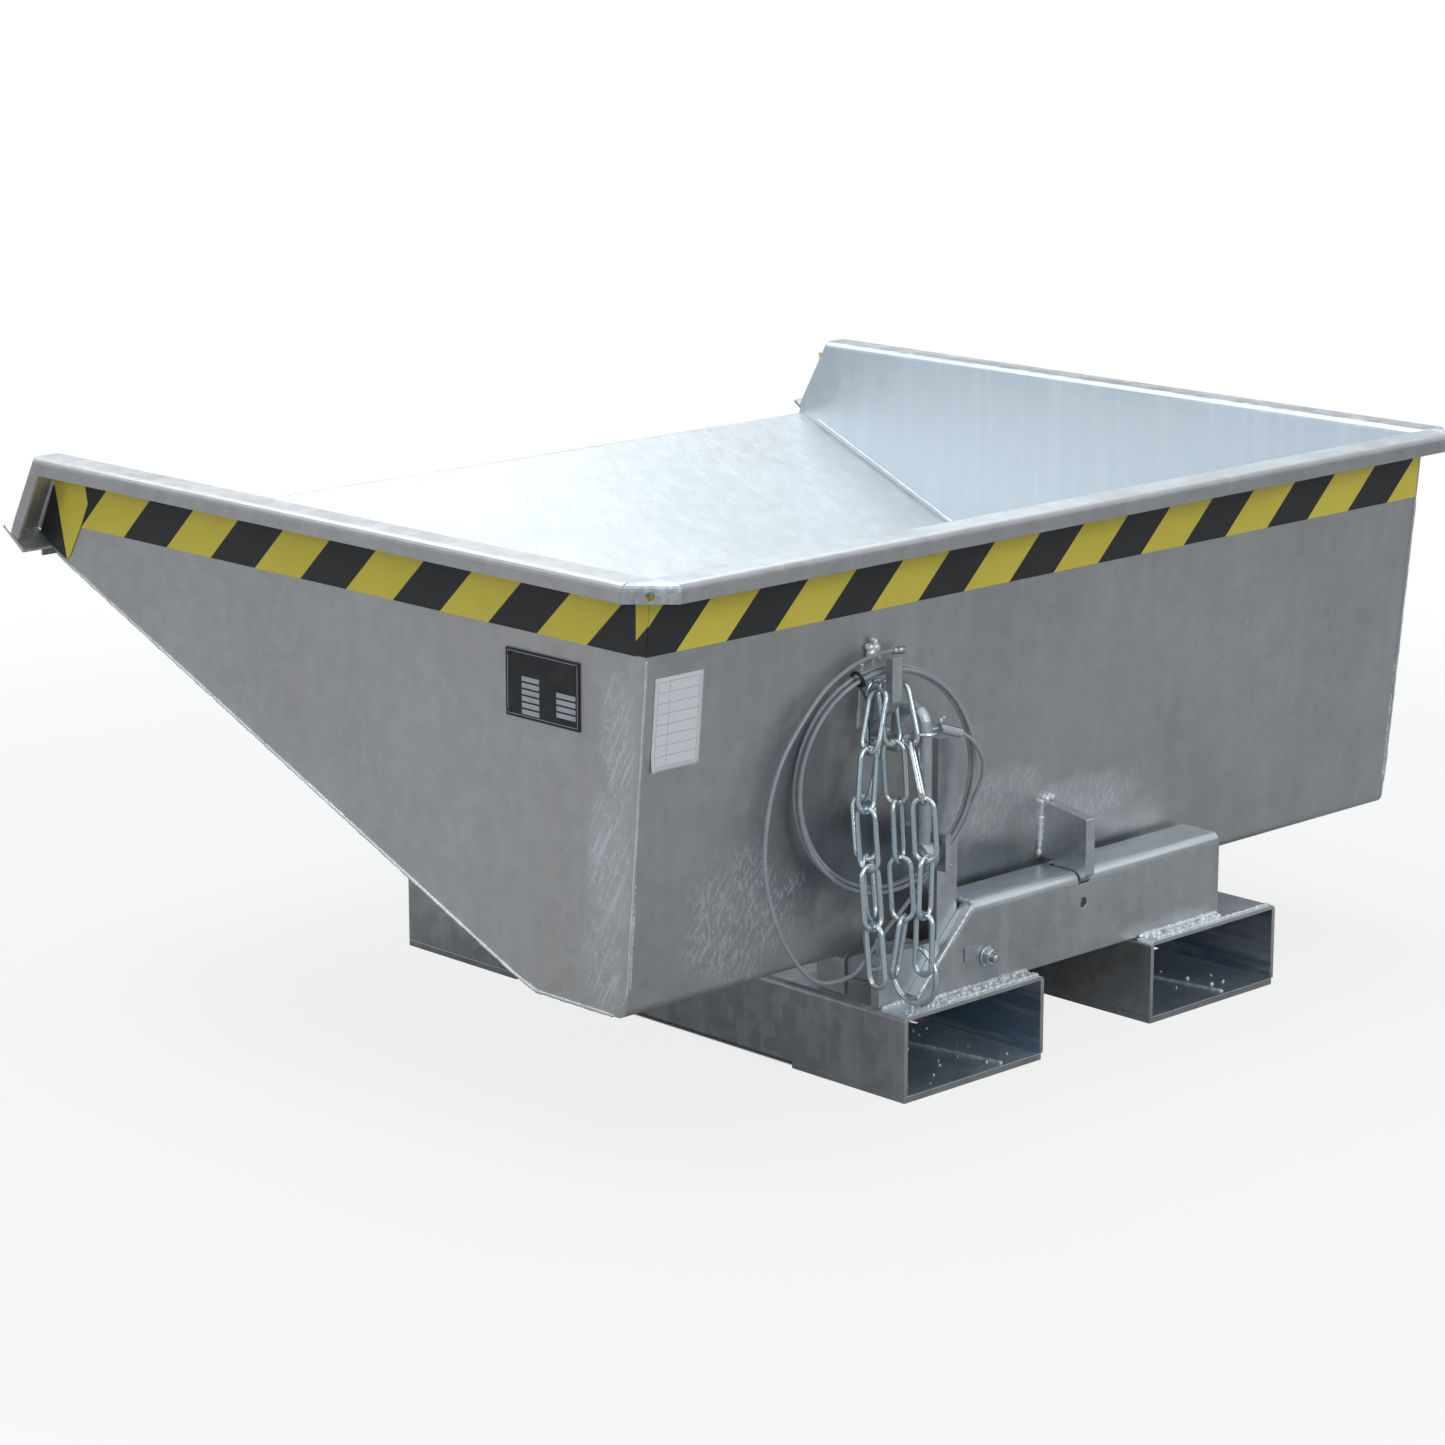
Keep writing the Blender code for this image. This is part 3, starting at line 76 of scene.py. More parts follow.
Material = bpy.types.Material

log = logging.getLogger("skip")

STRIPE_MAP = "stripes"
TAU = math.tau

# The Y of the frame's origin, as drawn.
MIDDLE_Y = 0.449
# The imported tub's walls, as drawn: the side walls' outer faces, their sheet, the rim's top, the Y of the rear
# wall's outer face there, and how far that face moves forwards for each metre down.
WALL_X = 0.525
SHEET = 0.003
RIM_TOP = 0.508
REAR_TOP_Y = 0.0421
REAR_LEAN = 0.08824

# The least length by which a vector is divided.
SHORTEST = 1e-12
# The radius of the last ring that closes a tube's end.
END_RADIUS = 1e-6
# How many steps each span of a smooth curve is first worked out in.
SPAN_STEPS = 32
# An axis with a Z of this much or more counts as upright.
STEEP = 0.9


class Body(Enum):
    """The bodies that a piece can ride on."""

    BASE = "base"
    TUB = "tub"
    LATCH = "latch"


class Slot(Enum):
    """The record's material slots."""

    STEEL = "galvanised_steel"
    ZINC = "bright_zinc"
    SHEATH = "cable_sheath"
    PLATE = "black_plate"


# Shapes in numpy


def in_frame(points: Sequence[Sequence[float]] | Points) -> Points:
    """Moves drawn points into the frame.

    Args:
        points: Points as drawn, with Y = 0 at the pockets' rear faces.

    Returns:
        The same points in the frame's coordinates.
    """
    return np.asarray(points, np.float64) - np.array([0.0, MIDDLE_Y, 0.0])


def rear_wall_y(z: Points) -> Points:
    """Where the rear wall's outer face lies, which leans back towards its top: a straight line in Z.

    Args:
        z: Heights.

    Returns:
        The Y of each, as drawn.
    """
    return REAR_TOP_Y + (RIM_TOP - z) * REAR_LEAN


def normalised(vectors: Points) -> Points:
    """Scales each row to a length of one.

    Args:
        vectors: Rows of vectors.

    Returns:
        The unit vectors.
    """
    return vectors / np.maximum(np.linalg.norm(vectors, axis=-1, keepdims=True), SHORTEST)


def grid_faces(rows: int, columns: int, wrap_rows: bool = False, wrap_columns: bool = False) -> Faces:
    """Quads between the neighbours of a grid of points.

    Args:
        rows: How many rows the grid has.
        columns: How many points each row has.
        wrap_rows: Whether the last row joins the first.
        wrap_columns: Whether each row is a ring.

    Returns:
        One row of four indices for each face.
    """
    i = np.arange(rows if wrap_rows else rows - 1)[:, None]
    j = np.arange(columns if wrap_columns else columns - 1)[None, :]
    after_i, after_j = (i + 1) % rows, (j + 1) % columns
    corners = (i * columns + j, i * columns + after_j, after_i * columns + after_j, after_i * columns + j)
    return np.stack(np.broadcast_arrays(*corners), axis=-1).reshape(-1, 4)


def resampled(points: Points, spacing: float) -> Points:
    """A smooth curve through points, read off at an even spacing.

    Each span is the Catmull-Rom cubic of its two ends and their outer neighbours.

    Args:
        points: The route's points.
        spacing: The distance wanted between points.

    Returns:
        Points along the curve, both ends included.
    """
    p = np.vstack([2 * points[0] - points[1], points, 2 * points[-1] - points[-2]])
    t = np.linspace(0, 1, SPAN_STEPS, endpoint=False)[None, :, None]
    a, b, c, d = (p[i:len(p) - 3 + i, None, :] for i in range(4))
    squared, cubed = 2 * a - 5 * b + 4 * c - d, 3 * b - a - 3 * c + d
    fine = 0.5 * (2 * b + (c - a) * t + squared * t**2 + cubed * t**3)
    fine = np.vstack([fine.reshape(-1, 3), points[-1]])
    along = np.concatenate([[0], np.cumsum(np.linalg.norm(np.diff(fine, axis=0), axis=1))])
    wanted = np.linspace(0, along[-1], max(round(along[-1] / spacing), 2) + 1)
    return np.stack([np.interp(wanted, along, fine[:, k]) for k in range(3)], axis=1)


def length_of(points: Points) -> float:
    """The length of a line through points.

    Args:
        points: The line's points.

    Returns:
        Its length in metres.
    """
    return float(np.linalg.norm(np.diff(points, axis=0), axis=1).sum())


def sweep(path: Points, radius: Points | float, reference: Sequence[float], sides: int = 12,
          closed: bool = False) -> tuple[Points, Faces]:
    """A tube round a path: rings of points at the radius, square to the path's direction.

    Args:
        path: The middle line.
        radius: One radius, or one for each point of the path.
        reference: A direction that is never along the path, from which the rings' angles are taken.
        sides: How many points each ring has.
        closed: Whether the path joins itself. Open ends are closed by a last ring of no size.

    Returns:
        The tube's points and its faces.
    """
    radii = np.broadcast_to(np.asarray(radius, np.float64), (len(path),))
    if not closed:
        path = np.vstack([path[:1], path, path[-1:]])
        radii = np.concatenate([[END_RADIUS], radii, [END_RADIUS]])
    ahead = np.roll(path, -1, axis=0) - np.roll(path, 1, axis=0)
    if not closed:
        ahead[:2] = path[2] - path[1]
        ahead[-2:] = path[-2] - path[-3]
    ahead = normalised(ahead)
    aside = normalised(np.cross(ahead, np.asarray(reference, np.float64)))
    up = np.cross(aside, ahead)
    angle = np.linspace(0, TAU, sides, endpoint=False)
    ring = (np.cos(angle)[None, :, None] * aside[:, None, :] + np.sin(angle)[None, :, None] * up[:, None, :])
    points = path[:, None, :] + radii[:, None, None] * ring
    return points.reshape(-1, 3), grid_faces(len(path), sides, wrap_rows=closed, wrap_columns=True)


def joined(shapes: Sequence[tuple[Points, Faces]]) -> tuple[Points, Faces]:
    """Several shapes as one list of points and faces.

    Args:
        shapes: The points and faces of each.

    Returns:
        The points and faces of all.
    """
    counts = np.cumsum([0] + [len(points) for points, _ in shapes[:-1]])
    return (np.vstack([points for points, _ in shapes]),
            np.vstack([faces + first for first, (_, faces) in zip(counts, shapes)]))


def lathe(start: Sequence[float], direction: Sequence[float], stations: Sequence[tuple[float, float]],
          sides: int = 24, turn: float = 0.0) -> tuple[Points, Faces]:
    """A turned shape: rings of points round an axis.

    Args:
        start: Where the axis starts.
        direction: The axis's direction.
        stations: The place along the axis and the radius of each ring.
        sides: How many points each ring has, so that 6 makes a hexagon.
        turn: The angle of each ring's first point.

    Returns:
        The shape's points and faces, its ends closed.
    """
    axis = normalised(np.asarray(direction, np.float64))
    spare = (1.0, 0.0, 0.0) if abs(axis[2]) >= STEEP else (0.0, 0.0, 1.0)
    aside = normalised(np.cross(axis, spare))
    up = np.cross(axis, aside)
    table = np.asarray(stations, np.float64)
    table = np.vstack([[table[0, 0], END_RADIUS], table, [table[-1, 0], END_RADIUS]])
    angle = np.linspace(0, TAU, sides, endpoint=False) + turn
    ring = np.cos(angle)[:, None] * aside + np.sin(angle)[:, None] * up
    points = (np.asarray(start, np.float64) + table[:, 0][:, None, None] * axis
              + table[:, 1][:, None, None] * ring[None, :, :])
    return points.reshape(-1, 3), grid_faces(len(table), sides, wrap_columns=True)


def outward(points: Points, faces: Faces) -> Faces:
    """Turns the faces of a closed shape so that they face out.

    Args:
        points: The shape's points.
        faces: Its quads.

    Returns:
        The quads, reversed where the shape's volume came out below zero.
    """
    a, b, c, d = (points[faces[:, k]] for k in range(4))
    volume = (np.cross(a, b) * c).sum() + (np.cross(a, c) * d).sum()
    return faces[:, ::-1] if volume < 0 else faces


def joined_solids(shapes: Sequence[tuple[Points, Faces]]) -> tuple[Points, Faces]:
    """Several closed shapes as one, the faces of each turned outwards."""
    return joined([(points, outward(points, faces)) for points, faces in shapes])


def add_mesh(name: str, points: Points, faces: Faces, finish: Material, body: Body,
             uv: Optional[Points] = None, closed: bool = True, smooth: bool = True) -> bpy.types.Object:
    """Makes an object from points and quads, and has it ride on a body.

    Args:
        name: The piece's name.
        points: Its points as drawn.
        faces: Its quads.
        finish: Its material.
        body: The body that it rides on.
        uv: A pair of texture coordinates for each point, if the material needs them.
        closed: Whether the shape is closed, so that its faces can be turned outwards.
        smooth: Whether it is shaded smooth.

    Returns:
        The new object.
    """
    if closed:
        faces = outward(points, faces)
    mesh = bpy.data.meshes.new(name)
    mesh.from_pydata(in_frame(points), [], faces.tolist())
    if uv is not None:
        layer = mesh.uv_layers.new(name=STRIPE_MAP)
        corners = np.zeros(len(mesh.loops), np.int32)
        mesh.loops.foreach_get("vertex_index", corners)
        layer.data.foreach_set("uv", uv[corners].astype(np.float32).ravel())
    mesh.polygons.foreach_set("use_smooth", np.full(len(mesh.polygons), smooth))
    mesh.materials.append(finish)
    mesh.validate()
    mesh.update()
    piece = bpy.data.objects.new(name, mesh)
    bpy.context.scene.collection.objects.link(piece)
    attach(piece, body.value)
    return piece


def add_film(name: str, points: Points, faces: Faces, finish: Material, thickness: float,
             uv: Optional[Points] = None, smooth: bool = False) -> bpy.types.Object:
    """Makes a thin open sheet that rides on the tub, half of its thickness on each side of the points.

    Args:
        name: The piece's name.
        points: Its points as drawn.
        faces: Its quads.
        finish: Its material.
        thickness: How thick it is.
        uv: A pair of texture coordinates for each point, if the material needs them.
        smooth: Whether it is shaded smooth.

    Returns:
        The new object.
    """
    piece = add_mesh(name, points, faces, finish, Body.TUB, uv, closed=False, smooth=smooth)
    film = piece.modifiers.new("film", "SOLIDIFY")
    film.thickness = thickness
    film.offset = 0.0
    return piece


# Materials


class Graph:
    """A material's or a node group's nodes, added and linked by name."""

    def __init__(self, tree: bpy.types.NodeTree) -> None:
        """Args:
            tree: The node tree to add to.
        """
        self.tree = tree
        self.column = 0

    def add(self, kind: str, label: str = "", props: Optional[dict[str, object]] = None,
            **inputs: object) -> bpy.types.Node:
        """Adds a node.

        Args:
            kind: The node's type name.
            label: What it is for.
            props: Its settings.
            **inputs: A value or another node's output for each input. Spaces in a name are written as _,
                and an input without a name of its own as in0, in1 and so on.

        Returns:
            The node.
        """
        node = self.tree.nodes.new(kind)
        node.label = label
        node.location = (self.column * 180, 0)
        self.column += 1
        for key, value in (props or {}).items():
            setattr(node, key, value)
        for key, value in inputs.items():
            number = key[2:] if key.startswith("in") and key[2:].isdigit() else None
            socket = node.inputs[int(number)] if number is not None else node.inputs[key.replace("_", " ")]
            if isinstance(value, Socket):
                self.tree.links.new(value, socket)
            else:
                socket.default_value = value
        return node

    def link(self, value: Socket, node: bpy.types.Node, name: str) -> None:
        """Feeds a value into a node's input of that name."""
        self.tree.links.new(value, node.inputs[name])

    def math(self, operation: str, a: object, b: object = 0.0, clamp: bool = False) -> Socket:
        """Adds a sum on one or two values and returns its output."""
        node = self.add("ShaderNodeMath", props={"operation": operation, "use_clamp": clamp}, in0=a, in1=b)
        return node.outputs[0]

    def vector(self, operation: str, a: object, b: object = (0.0, 0.0, 0.0)) -> Socket:
        """Adds a sum on one or two vectors and returns its output, a value for a length or a dot product."""
        node = self.add("ShaderNodeVectorMath", props={"operation": operation}, in0=a, in1=b)
        return node.outputs["Value" if operation in ("LENGTH", "DOT_PRODUCT") else "Vector"]

    def grey(self, level: Socket) -> Socket:
        """Turns a value into a colour of three equal parts and returns it."""
        return self.add("ShaderNodeCombineColor", Red=level, Green=level, Blue=level).outputs[0]

    def noise(self, where: Socket, scale: float, detail: float = 3.0, roughness: float = 0.55,
              stretch: Triple = (1.0, 1.0, 1.0), turn: Triple = (0.0, 0.0, 0.0),
              label: str = "") -> Socket:
        """Adds a noise that is read at a turned and then stretched place.

        Args:
            where: The place.
            scale: How many waves of noise go to a metre.
            detail: How many finer layers it has.
            roughness: How strong they are.
            stretch: The place's scale along each axis, small along the strokes.
            turn: The place's turn about each axis.
            label: What the noise is for.

        Returns:
            The noise's value.
        """
        turned = self.add("ShaderNodeMapping", Vector=where, Rotation=turn).outputs[0] if any(turn) else where
        placed = self.add("ShaderNodeMapping", Vector=turned, Scale=stretch).outputs[0]
        node = self.add("ShaderNodeTexNoise", label, Vector=placed, Scale=scale, Detail=detail,
                        Roughness=roughness)
        return node.outputs["Fac"]

    def between(self, value: Socket, low: float = 0.0, high: float = 1.0, out_low: float = 0.0,
                out_high: float = 1.0) -> Socket:
        """Maps a value smoothly from one range to another.

        Args:
            value: The value.
            low: The first range's start.
            high: Its end.
            out_low: The value given at the start.
            out_high: The value given at the end.

        Returns:
            The mapped value.
        """
        node = self.add("ShaderNodeMapRange", props={"interpolation_type": "SMOOTHSTEP"}, Value=value,
                        From_Min=low, From_Max=high, To_Min=out_low, To_Max=out_high)
        return node.outputs["Result"]

    def mix(self, share: object, a: object, b: object, blend: str = "MIX") -> Socket:
        """Mixes two colours.

        Args:
            share: How much of the second there is.
            a: The first colour.
            b: The second colour.
            blend: How they are put together.

        Returns:
            The mixed colour.
        """
        node = self.add("ShaderNodeMix", props={"data_type": "RGBA", "blend_type": blend})
        for number, value in ((0, share), (6, a), (7, b)):
            socket = node.inputs[number]
            if isinstance(value, Socket):
                self.tree.links.new(value, socket)
            else:
                socket.default_value = (*value, 1.0) if isinstance(value, tuple) else value
        return node.outputs[2]


def new_group(name: str, inputs: Sequence[tuple[str, str, float]],
              outputs: Sequence[str]) -> bpy.types.NodeTree:
    """Starts a node group.

    Args:
        name: The group's name.
        inputs: The name, socket type and default of each input. A vector's default is not set.
        outputs: The name of each value that it gives.

    Returns:
        The group, with its input and output nodes.
    """
    group = bpy.data.node_groups.new(name, "ShaderNodeTree")
    for label, kind, default in inputs:
        socket = group.interface.new_socket(label, in_out="INPUT", socket_type=kind)
        if kind == "NodeSocketFloat":
            socket.default_value = default
    for label in outputs:
        group.interface.new_socket(label, in_out="OUTPUT", socket_type="NodeSocketFloat")
    group.nodes.new("NodeGroupInput")
    group.nodes.new("NodeGroupOutput")
    return group


def zinc_group() -> bpy.types.NodeTree:
    """Hot-dip zinc: soft clouds, faint spangle, runs that hang down, and fine grain.

    Returns:
        A group that gives Clouds, Spangle, Runs, Specks and Grain, each from 0 to 1, at a place.
    """
    inputs = [("Place", "NodeSocketVector", 0.0), ("Spangle size", "NodeSocketFloat", 0.012)]
    group = new_group("hot dip zinc", inputs, ["Clouds", "Spangle", "Runs", "Specks", "Grain"])
    graph = Graph(group)
    source, sink = group.nodes["Group Input"], group.nodes["Group Output"]
    place = source.outputs["Place"]
    fine = graph.math("DIVIDE", 1.0, source.outputs["Spangle size"])
    wobble = graph.add("ShaderNodeTexNoise", "bends the crystals' edges", Vector=place, Scale=60.0,
                       Detail=2.0)
    bent = graph.add("ShaderNodeMix", props={"data_type": "VECTOR"}, in0=0.012)
    group.links.new(place, bent.inputs[4])
    group.links.new(wobble.outputs["Color"], bent.inputs[5])
    cells = graph.add("ShaderNodeTexVoronoi", "crystals", Vector=bent.outputs[1], Scale=fine)
    crystal = graph.add("ShaderNodeSeparateColor", Color=cells.outputs["Color"]).outputs[0]
    clouds = graph.noise(place, scale=5.5, detail=5.0, roughness=0.6, label="clouds")
    runs = graph.noise(place, scale=46.0, detail=4.0, roughness=0.6, stretch=(1.0, 1.0, 0.05), label="runs")
    specks = graph.noise(place, scale=210.0, detail=2.0, roughness=0.5, label="specks")
    values = {
        "Clouds": graph.between(clouds, low=0.3, high=0.7),
        "Spangle": crystal,
        "Runs": graph.between(runs, low=0.42, high=0.72),
        "Specks": graph.between(specks, low=0.66, high=0.76),
        "Grain": graph.noise(place, scale=900.0, detail=2.0, roughness=0.6, label="grain"),
    }
    for label, value in values.items():
        group.links.new(value, sink.inputs[label])
    return group


def scuff_group() -> bpy.types.NodeTree:
    """Grinding and handling marks: short strokes that lean, one set on the side walls and one on the rear.

    Returns:
        A group that gives Strokes from 0 to 1 at a place.
    """
    group = new_group("crossed strokes", [("Place", "NodeSocketVector", 0)], ["Strokes"])
    graph = Graph(group)
    place = group.nodes["Group Input"].outputs["Place"]
    stretch = (1.3, 1.3, 0.1)
    side_lean, rear_lean = math.radians(28), math.radians(36.4)
    first, second = (graph.noise(place, scale, roughness=0.6, stretch=stretch, turn=turn, label="strokes")
                     for scale, turn in ((210.0, (-side_lean, 0, 0)), (240.0, (0, -rear_lean, 0))))
    most = graph.math("MAXIMUM", graph.between(first, low=0.46, high=0.66),
                      graph.between(second, low=0.49, high=0.7))
    group.links.new(most, group.nodes["Group Output"].inputs["Strokes"])
    return group


@dataclass(frozen=True)
class Patch:
    """A soft-edged area of a surface, as drawn: an ellipsoid with ragged edges.

    Attributes:
        centre: Its middle.
        reach: Its half sizes.
        ragged: How far its edge is broken up.
        solid: How much of it is an even tone, and not strokes. A dark patch has no strokes.
        strength: How far it changes the colour.
    """

    centre: Triple
    reach: Triple
    ragged: float = 0.5
    solid: float = 0.25
    strength: float = 0.75


@dataclass(frozen=True)
class Finish:
    """How a galvanised surface looks.

    Attributes:
        name: The material's name.
        colour: Its mean colour.
        contrast: How far clouds, spangle and runs change the colour.
        roughness: The mean roughness.
        metallic: How metallic it is.
        spangle: The size of a zinc crystal.
        bump: The height of the surface's unevenness.
        soften: The radius to which edges are shown rounded.
        dark: Patches painted a darker blue-grey: dull zinc, and painted shade.
        light: Patches painted white: scuffing, and painted highlights.
        inside: An object-space direction. Faces that look along it, such as inner faces and tops, are painted
            lighter and bluer as if lit by the sky, and a little varied by runs as cleaner zinc.
        clean: How far such a face is painted lighter.
        runs: How strongly pale runs show.
        hollow: The X and Z of a pocket's middle line. Faces that look towards it are glossy, and painted a
            lighter blue with white streaks: painted light and highlights in the dark hollow.
        worn: How far edges are painted brighter: painted edge highlights, and rubbed zinc.
    """

    name: str
    colour: Colour
    contrast: float = 0.07
    roughness: float = 0.42
    metallic: float = 0.85
    spangle: float = 0.012
    bump: float = 0.00006
    soften: float = 0.0008
    dark: tuple[Patch, ...] = ()
    light: tuple[Patch, ...] = ()
    inside: Optional[Triple] = None
    clean: float = 0.85
    runs: float = 0.06
    hollow: Optional[tuple[float, float]] = None
    worn: float = 0.35


class Paints:
    """Builds the materials, and holds the node groups that they share."""

    # Darker blue-grey for dull zinc, and for painted shade.
    DARK_ZINC: Colour = (0.17, 0.195, 0.22)
    # Pale zinc for runs, specks and scuffs, and for painted highlights.
    LIGHT_ZINC: Colour = (0.86, 0.89, 0.92)
    # Clean zinc, and the lighter, bluer colour painted on faces that look up or inwards, as if lit by the sky.
    CLEAN_SKYLIT_ZINC: Colour = (0.86, 0.94, 1.0)
    # The lighter blue painted inside the pockets' hollows, as painted light.
    HOLLOW_LIGHT_BLUE: Colour = (0.42, 0.56, 0.72)
    WHITE: Colour = (1.0, 1.0, 1.0)
    # How far spangle and specks change the colour, as shares of the clouds' contrast.
    SPANGLE_SHARE = 0.45
    SPECK_SHARE = 1.6
    # How much smoother than the mean clouds are, and rougher the gaps between them.
    CLOUD_SMOOTHER = 0.06
    GAP_ROUGHER = 0.07
    SPANGLE_ROUGHER = 0.07
    HOLLOW_SMOOTHER = 0.12
    # How high grain and runs stand, as shares of the clouds' height.
    GRAIN_HEIGHT = 0.12
    RUN_HEIGHT = 0.35
    # Bright zinc's warm and blue tinges, and the painted shade at its grazing rim, as shares of its colour.
    TINGES = ((1.0, 0.985, 0.93), (0.9, 0.985, 1.06), (0.1, 0.15, 0.19))
    # Faded yellow and dull black tape, as shares of the fresh colours.
    SUNNED = (1.09, 1.1, 1.2)
    DULLED = 1.9
    EDGE_RADIUS = 0.0014
    BEVEL_SAMPLES = 4
    BUMP_STRENGTH = 0.6

    def __init__(self) -> None:
        """Makes the shared groups."""
        self.zinc = zinc_group()
        self.scuffs = scuff_group()

    def start(self, name: str) -> tuple[Material, Graph, bpy.types.Node, Socket]:
        """Starts a material.

        Args:
            name: Its name.

        Returns:
            The material, its graph, its shader node and its object coordinates.
        """
        material = bpy.data.materials.new(name)
        material.use_nodes = True
        tree = material.node_tree
        graph = Graph(tree)
        place = graph.add("ShaderNodeTexCoord").outputs["Object"]
        return material, graph, tree.nodes["Principled BSDF"], place

    def patch_mask(self, graph: Graph, place: Socket, patch: Patch) -> Socket:
        """How far inside a patch a place is: its distance in half sizes, with the edge broken up by noise.

        Args:
            graph: The material's graph.
            place: The object coordinates.
            patch: The patch.

        Returns:
            A mask from 0 to 1.
        """
        x, y, z = patch.centre
        shift = graph.vector("SUBTRACT", place, (x, y - MIDDLE_Y, z))
        far = graph.vector("LENGTH", graph.vector("DIVIDE", shift, patch.reach))
        ragged = graph.noise(place, scale=24.0, detail=5.0, roughness=0.65, label="ragged edge")
        rough = graph.math("MULTIPLY", ragged, patch.ragged * 2)
        edge = graph.math("ADD", graph.math("SUBTRACT", far, patch.ragged), rough)
        return graph.between(edge, low=0.45, high=1.0, out_low=1.0, out_high=0.0)

    def hollow_mask(self, graph: Graph, place: Socket, facing: Socket,
                    middle: tuple[float, float]) -> Socket:
        """1 where a face looks towards a line along Y, and 0 where it looks away.

        Args:
            graph: The material's graph.
            place: The object coordinates.
            facing: The face's direction.
            middle: The X and Z of the line.

        Returns:
            A mask from 0 to 1.
        """
        x, z = middle
        inward = graph.vector("SUBTRACT", (x, 0.0, z), place)
        across = graph.vector("MULTIPLY", inward, (1.0, 0.0, 1.0))
        return graph.between(graph.vector("DOT_PRODUCT", across, facing), low=0.002, high=0.012)

    def edge_mask(self, graph: Graph) -> Socket:
        """Near 1 on sharp edges, where the rounded normal leaves the face's own.

        Args:
            graph: The material's graph.

        Returns:
            A mask from 0 to 1.
        """
        rounded = self.rounded(graph, self.EDGE_RADIUS)
        own = graph.add("ShaderNodeNewGeometry").outputs["Normal"]
        same = graph.vector("DOT_PRODUCT", rounded, own)
        return graph.between(same, low=0.8, high=0.985, out_low=1.0, out_high=0.0)

    def rounded(self, graph: Graph, radius: float) -> Socket:
        """Adds a normal that is bent round edges and returns it."""
        node = graph.add("ShaderNodeBevel", props={"samples": self.BEVEL_SAMPLES}, Radius=radius)
        return node.outputs[0]

    def galvanised(self, finish: Finish) -> Material:
        """Hot-dip galvanised steel.

        Args:
            finish: Its look.

        Returns:
            The material.
        """
        material, graph, shader, place = self.start(finish.name)
        zinc = graph.add("ShaderNodeGroup", props={"node_tree": self.zinc}, Place=place,
                         Spangle_size=finish.spangle).outputs
        facing = graph.add("ShaderNodeTexCoord").outputs["Normal"]
        colour = self.zinc_colour_and_shade(graph, finish, zinc, place)
        # Faces that look along finish.inside are painted lighter and bluer, as if lit by the sky, and a little
        # varied by runs as cleaner zinc.
        if finish.inside is not None:
            towards = graph.vector("DOT_PRODUCT", facing, finish.inside)
            inner = graph.between(towards, low=0.4, high=0.9, out_low=0.0, out_high=finish.clean)
            lit_and_washed = graph.math("MULTIPLY", inner,
                                graph.between(zinc["Runs"], low=0.0, high=0.8, out_low=0.91, out_high=1.0))
            colour = graph.mix(lit_and_washed, colour, self.CLEAN_SKYLIT_ZINC)
        colour = graph.mix(self.pale_marks(graph, finish, zinc, place), colour, self.LIGHT_ZINC)
        hollow_light_and_gloss = 0.0
        # Inside a pocket: a painted lighter blue light with white painted highlight streaks, and smoother.
        if finish.hollow is not None:
            hollow_light_and_gloss = self.hollow_mask(graph, place, facing, finish.hollow)
            streaks = graph.noise(place, scale=70.0, detail=4.0, roughness=0.6, stretch=(1.0, 0.08, 1.0),
                                  label="rolled streaks")
            blue = graph.mix(graph.between(streaks, low=0.42, high=0.62), self.HOLLOW_LIGHT_BLUE, self.WHITE)
            colour = graph.mix(hollow_light_and_gloss, colour, blue)
        graph.link(colour, shader, "Base Color")
        dull = graph.between(zinc["Clouds"], out_low=finish.roughness + self.GAP_ROUGHER,
                             out_high=finish.roughness - self.CLOUD_SMOOTHER)
        dull = graph.math("ADD", dull, graph.math("MULTIPLY", zinc["Spangle"], self.SPANGLE_ROUGHER))
        dull = graph.math("SUBTRACT", dull, graph.math("MULTIPLY", hollow_light_and_gloss, self.HOLLOW_SMOOTHER), clamp=True)
        graph.link(dull, shader, "Roughness")
        shader.inputs["Metallic"].default_value = finish.metallic
        height = graph.math("ADD", zinc["Clouds"], graph.math("MULTIPLY", zinc["Grain"], self.GRAIN_HEIGHT))
        height = graph.math("ADD", height, graph.math("MULTIPLY", zinc["Runs"], self.RUN_HEIGHT))
        self.bump(graph, shader, height, finish.bump * 10, finish.soften)
        return material

    def zinc_colour_and_shade(self, graph: Graph, finish: Finish, zinc: bpy.types.NodeOutputs,
                  place: Socket) -> Socket:
        """The plain colour: clouds, times spangle, with the darker patches of dull zinc and painted shade laid
        over it.

        Args:
            graph: The material's graph.
            finish: Its look.
            zinc: The zinc group's outputs.
            place: The object coordinates.

        Returns:
            The colour.
        """
        low, high = 1 - finish.contrast, 1 + finish.contrast
        colour = graph.mix(zinc["Clouds"], tuple(c * low for c in finish.colour),
                           tuple(min(c * high, 1) for c in finish.colour))
        spread = finish.contrast * self.SPANGLE_SHARE
        crystal = graph.between(zinc["Spangle"], out_low=1 - spread, out_high=1 + spread)
        colour = graph.mix(1.0, colour, graph.grey(crystal), "MULTIPLY")
        # Darker patches: dull zinc, and painted shade.
        for patch in finish.dark:
            mask = graph.math("MULTIPLY", self.patch_mask(graph, place, patch), patch.strength)
            colour = graph.mix(mask, colour, self.DARK_ZINC)
        return colour

    def pale_marks(self, graph: Graph, finish: Finish, zinc: bpy.types.NodeOutputs,
                   place: Socket) -> Socket:
        """How pale a place is from runs, specks, scuffs, painted highlights and edges painted brighter, the
        strongest of them.

        Args:
            graph: The material's graph.
            finish: Its look.
            zinc: The zinc group's outputs.
            place: The object coordinates.

        Returns:
            The share of pale zinc, from 0 to 1.
        """
        light = graph.math("MULTIPLY", zinc["Runs"], finish.runs)
        specks = graph.math("MULTIPLY", zinc["Specks"], finish.contrast * self.SPECK_SHARE)
        light = graph.math("MAXIMUM", light, specks)
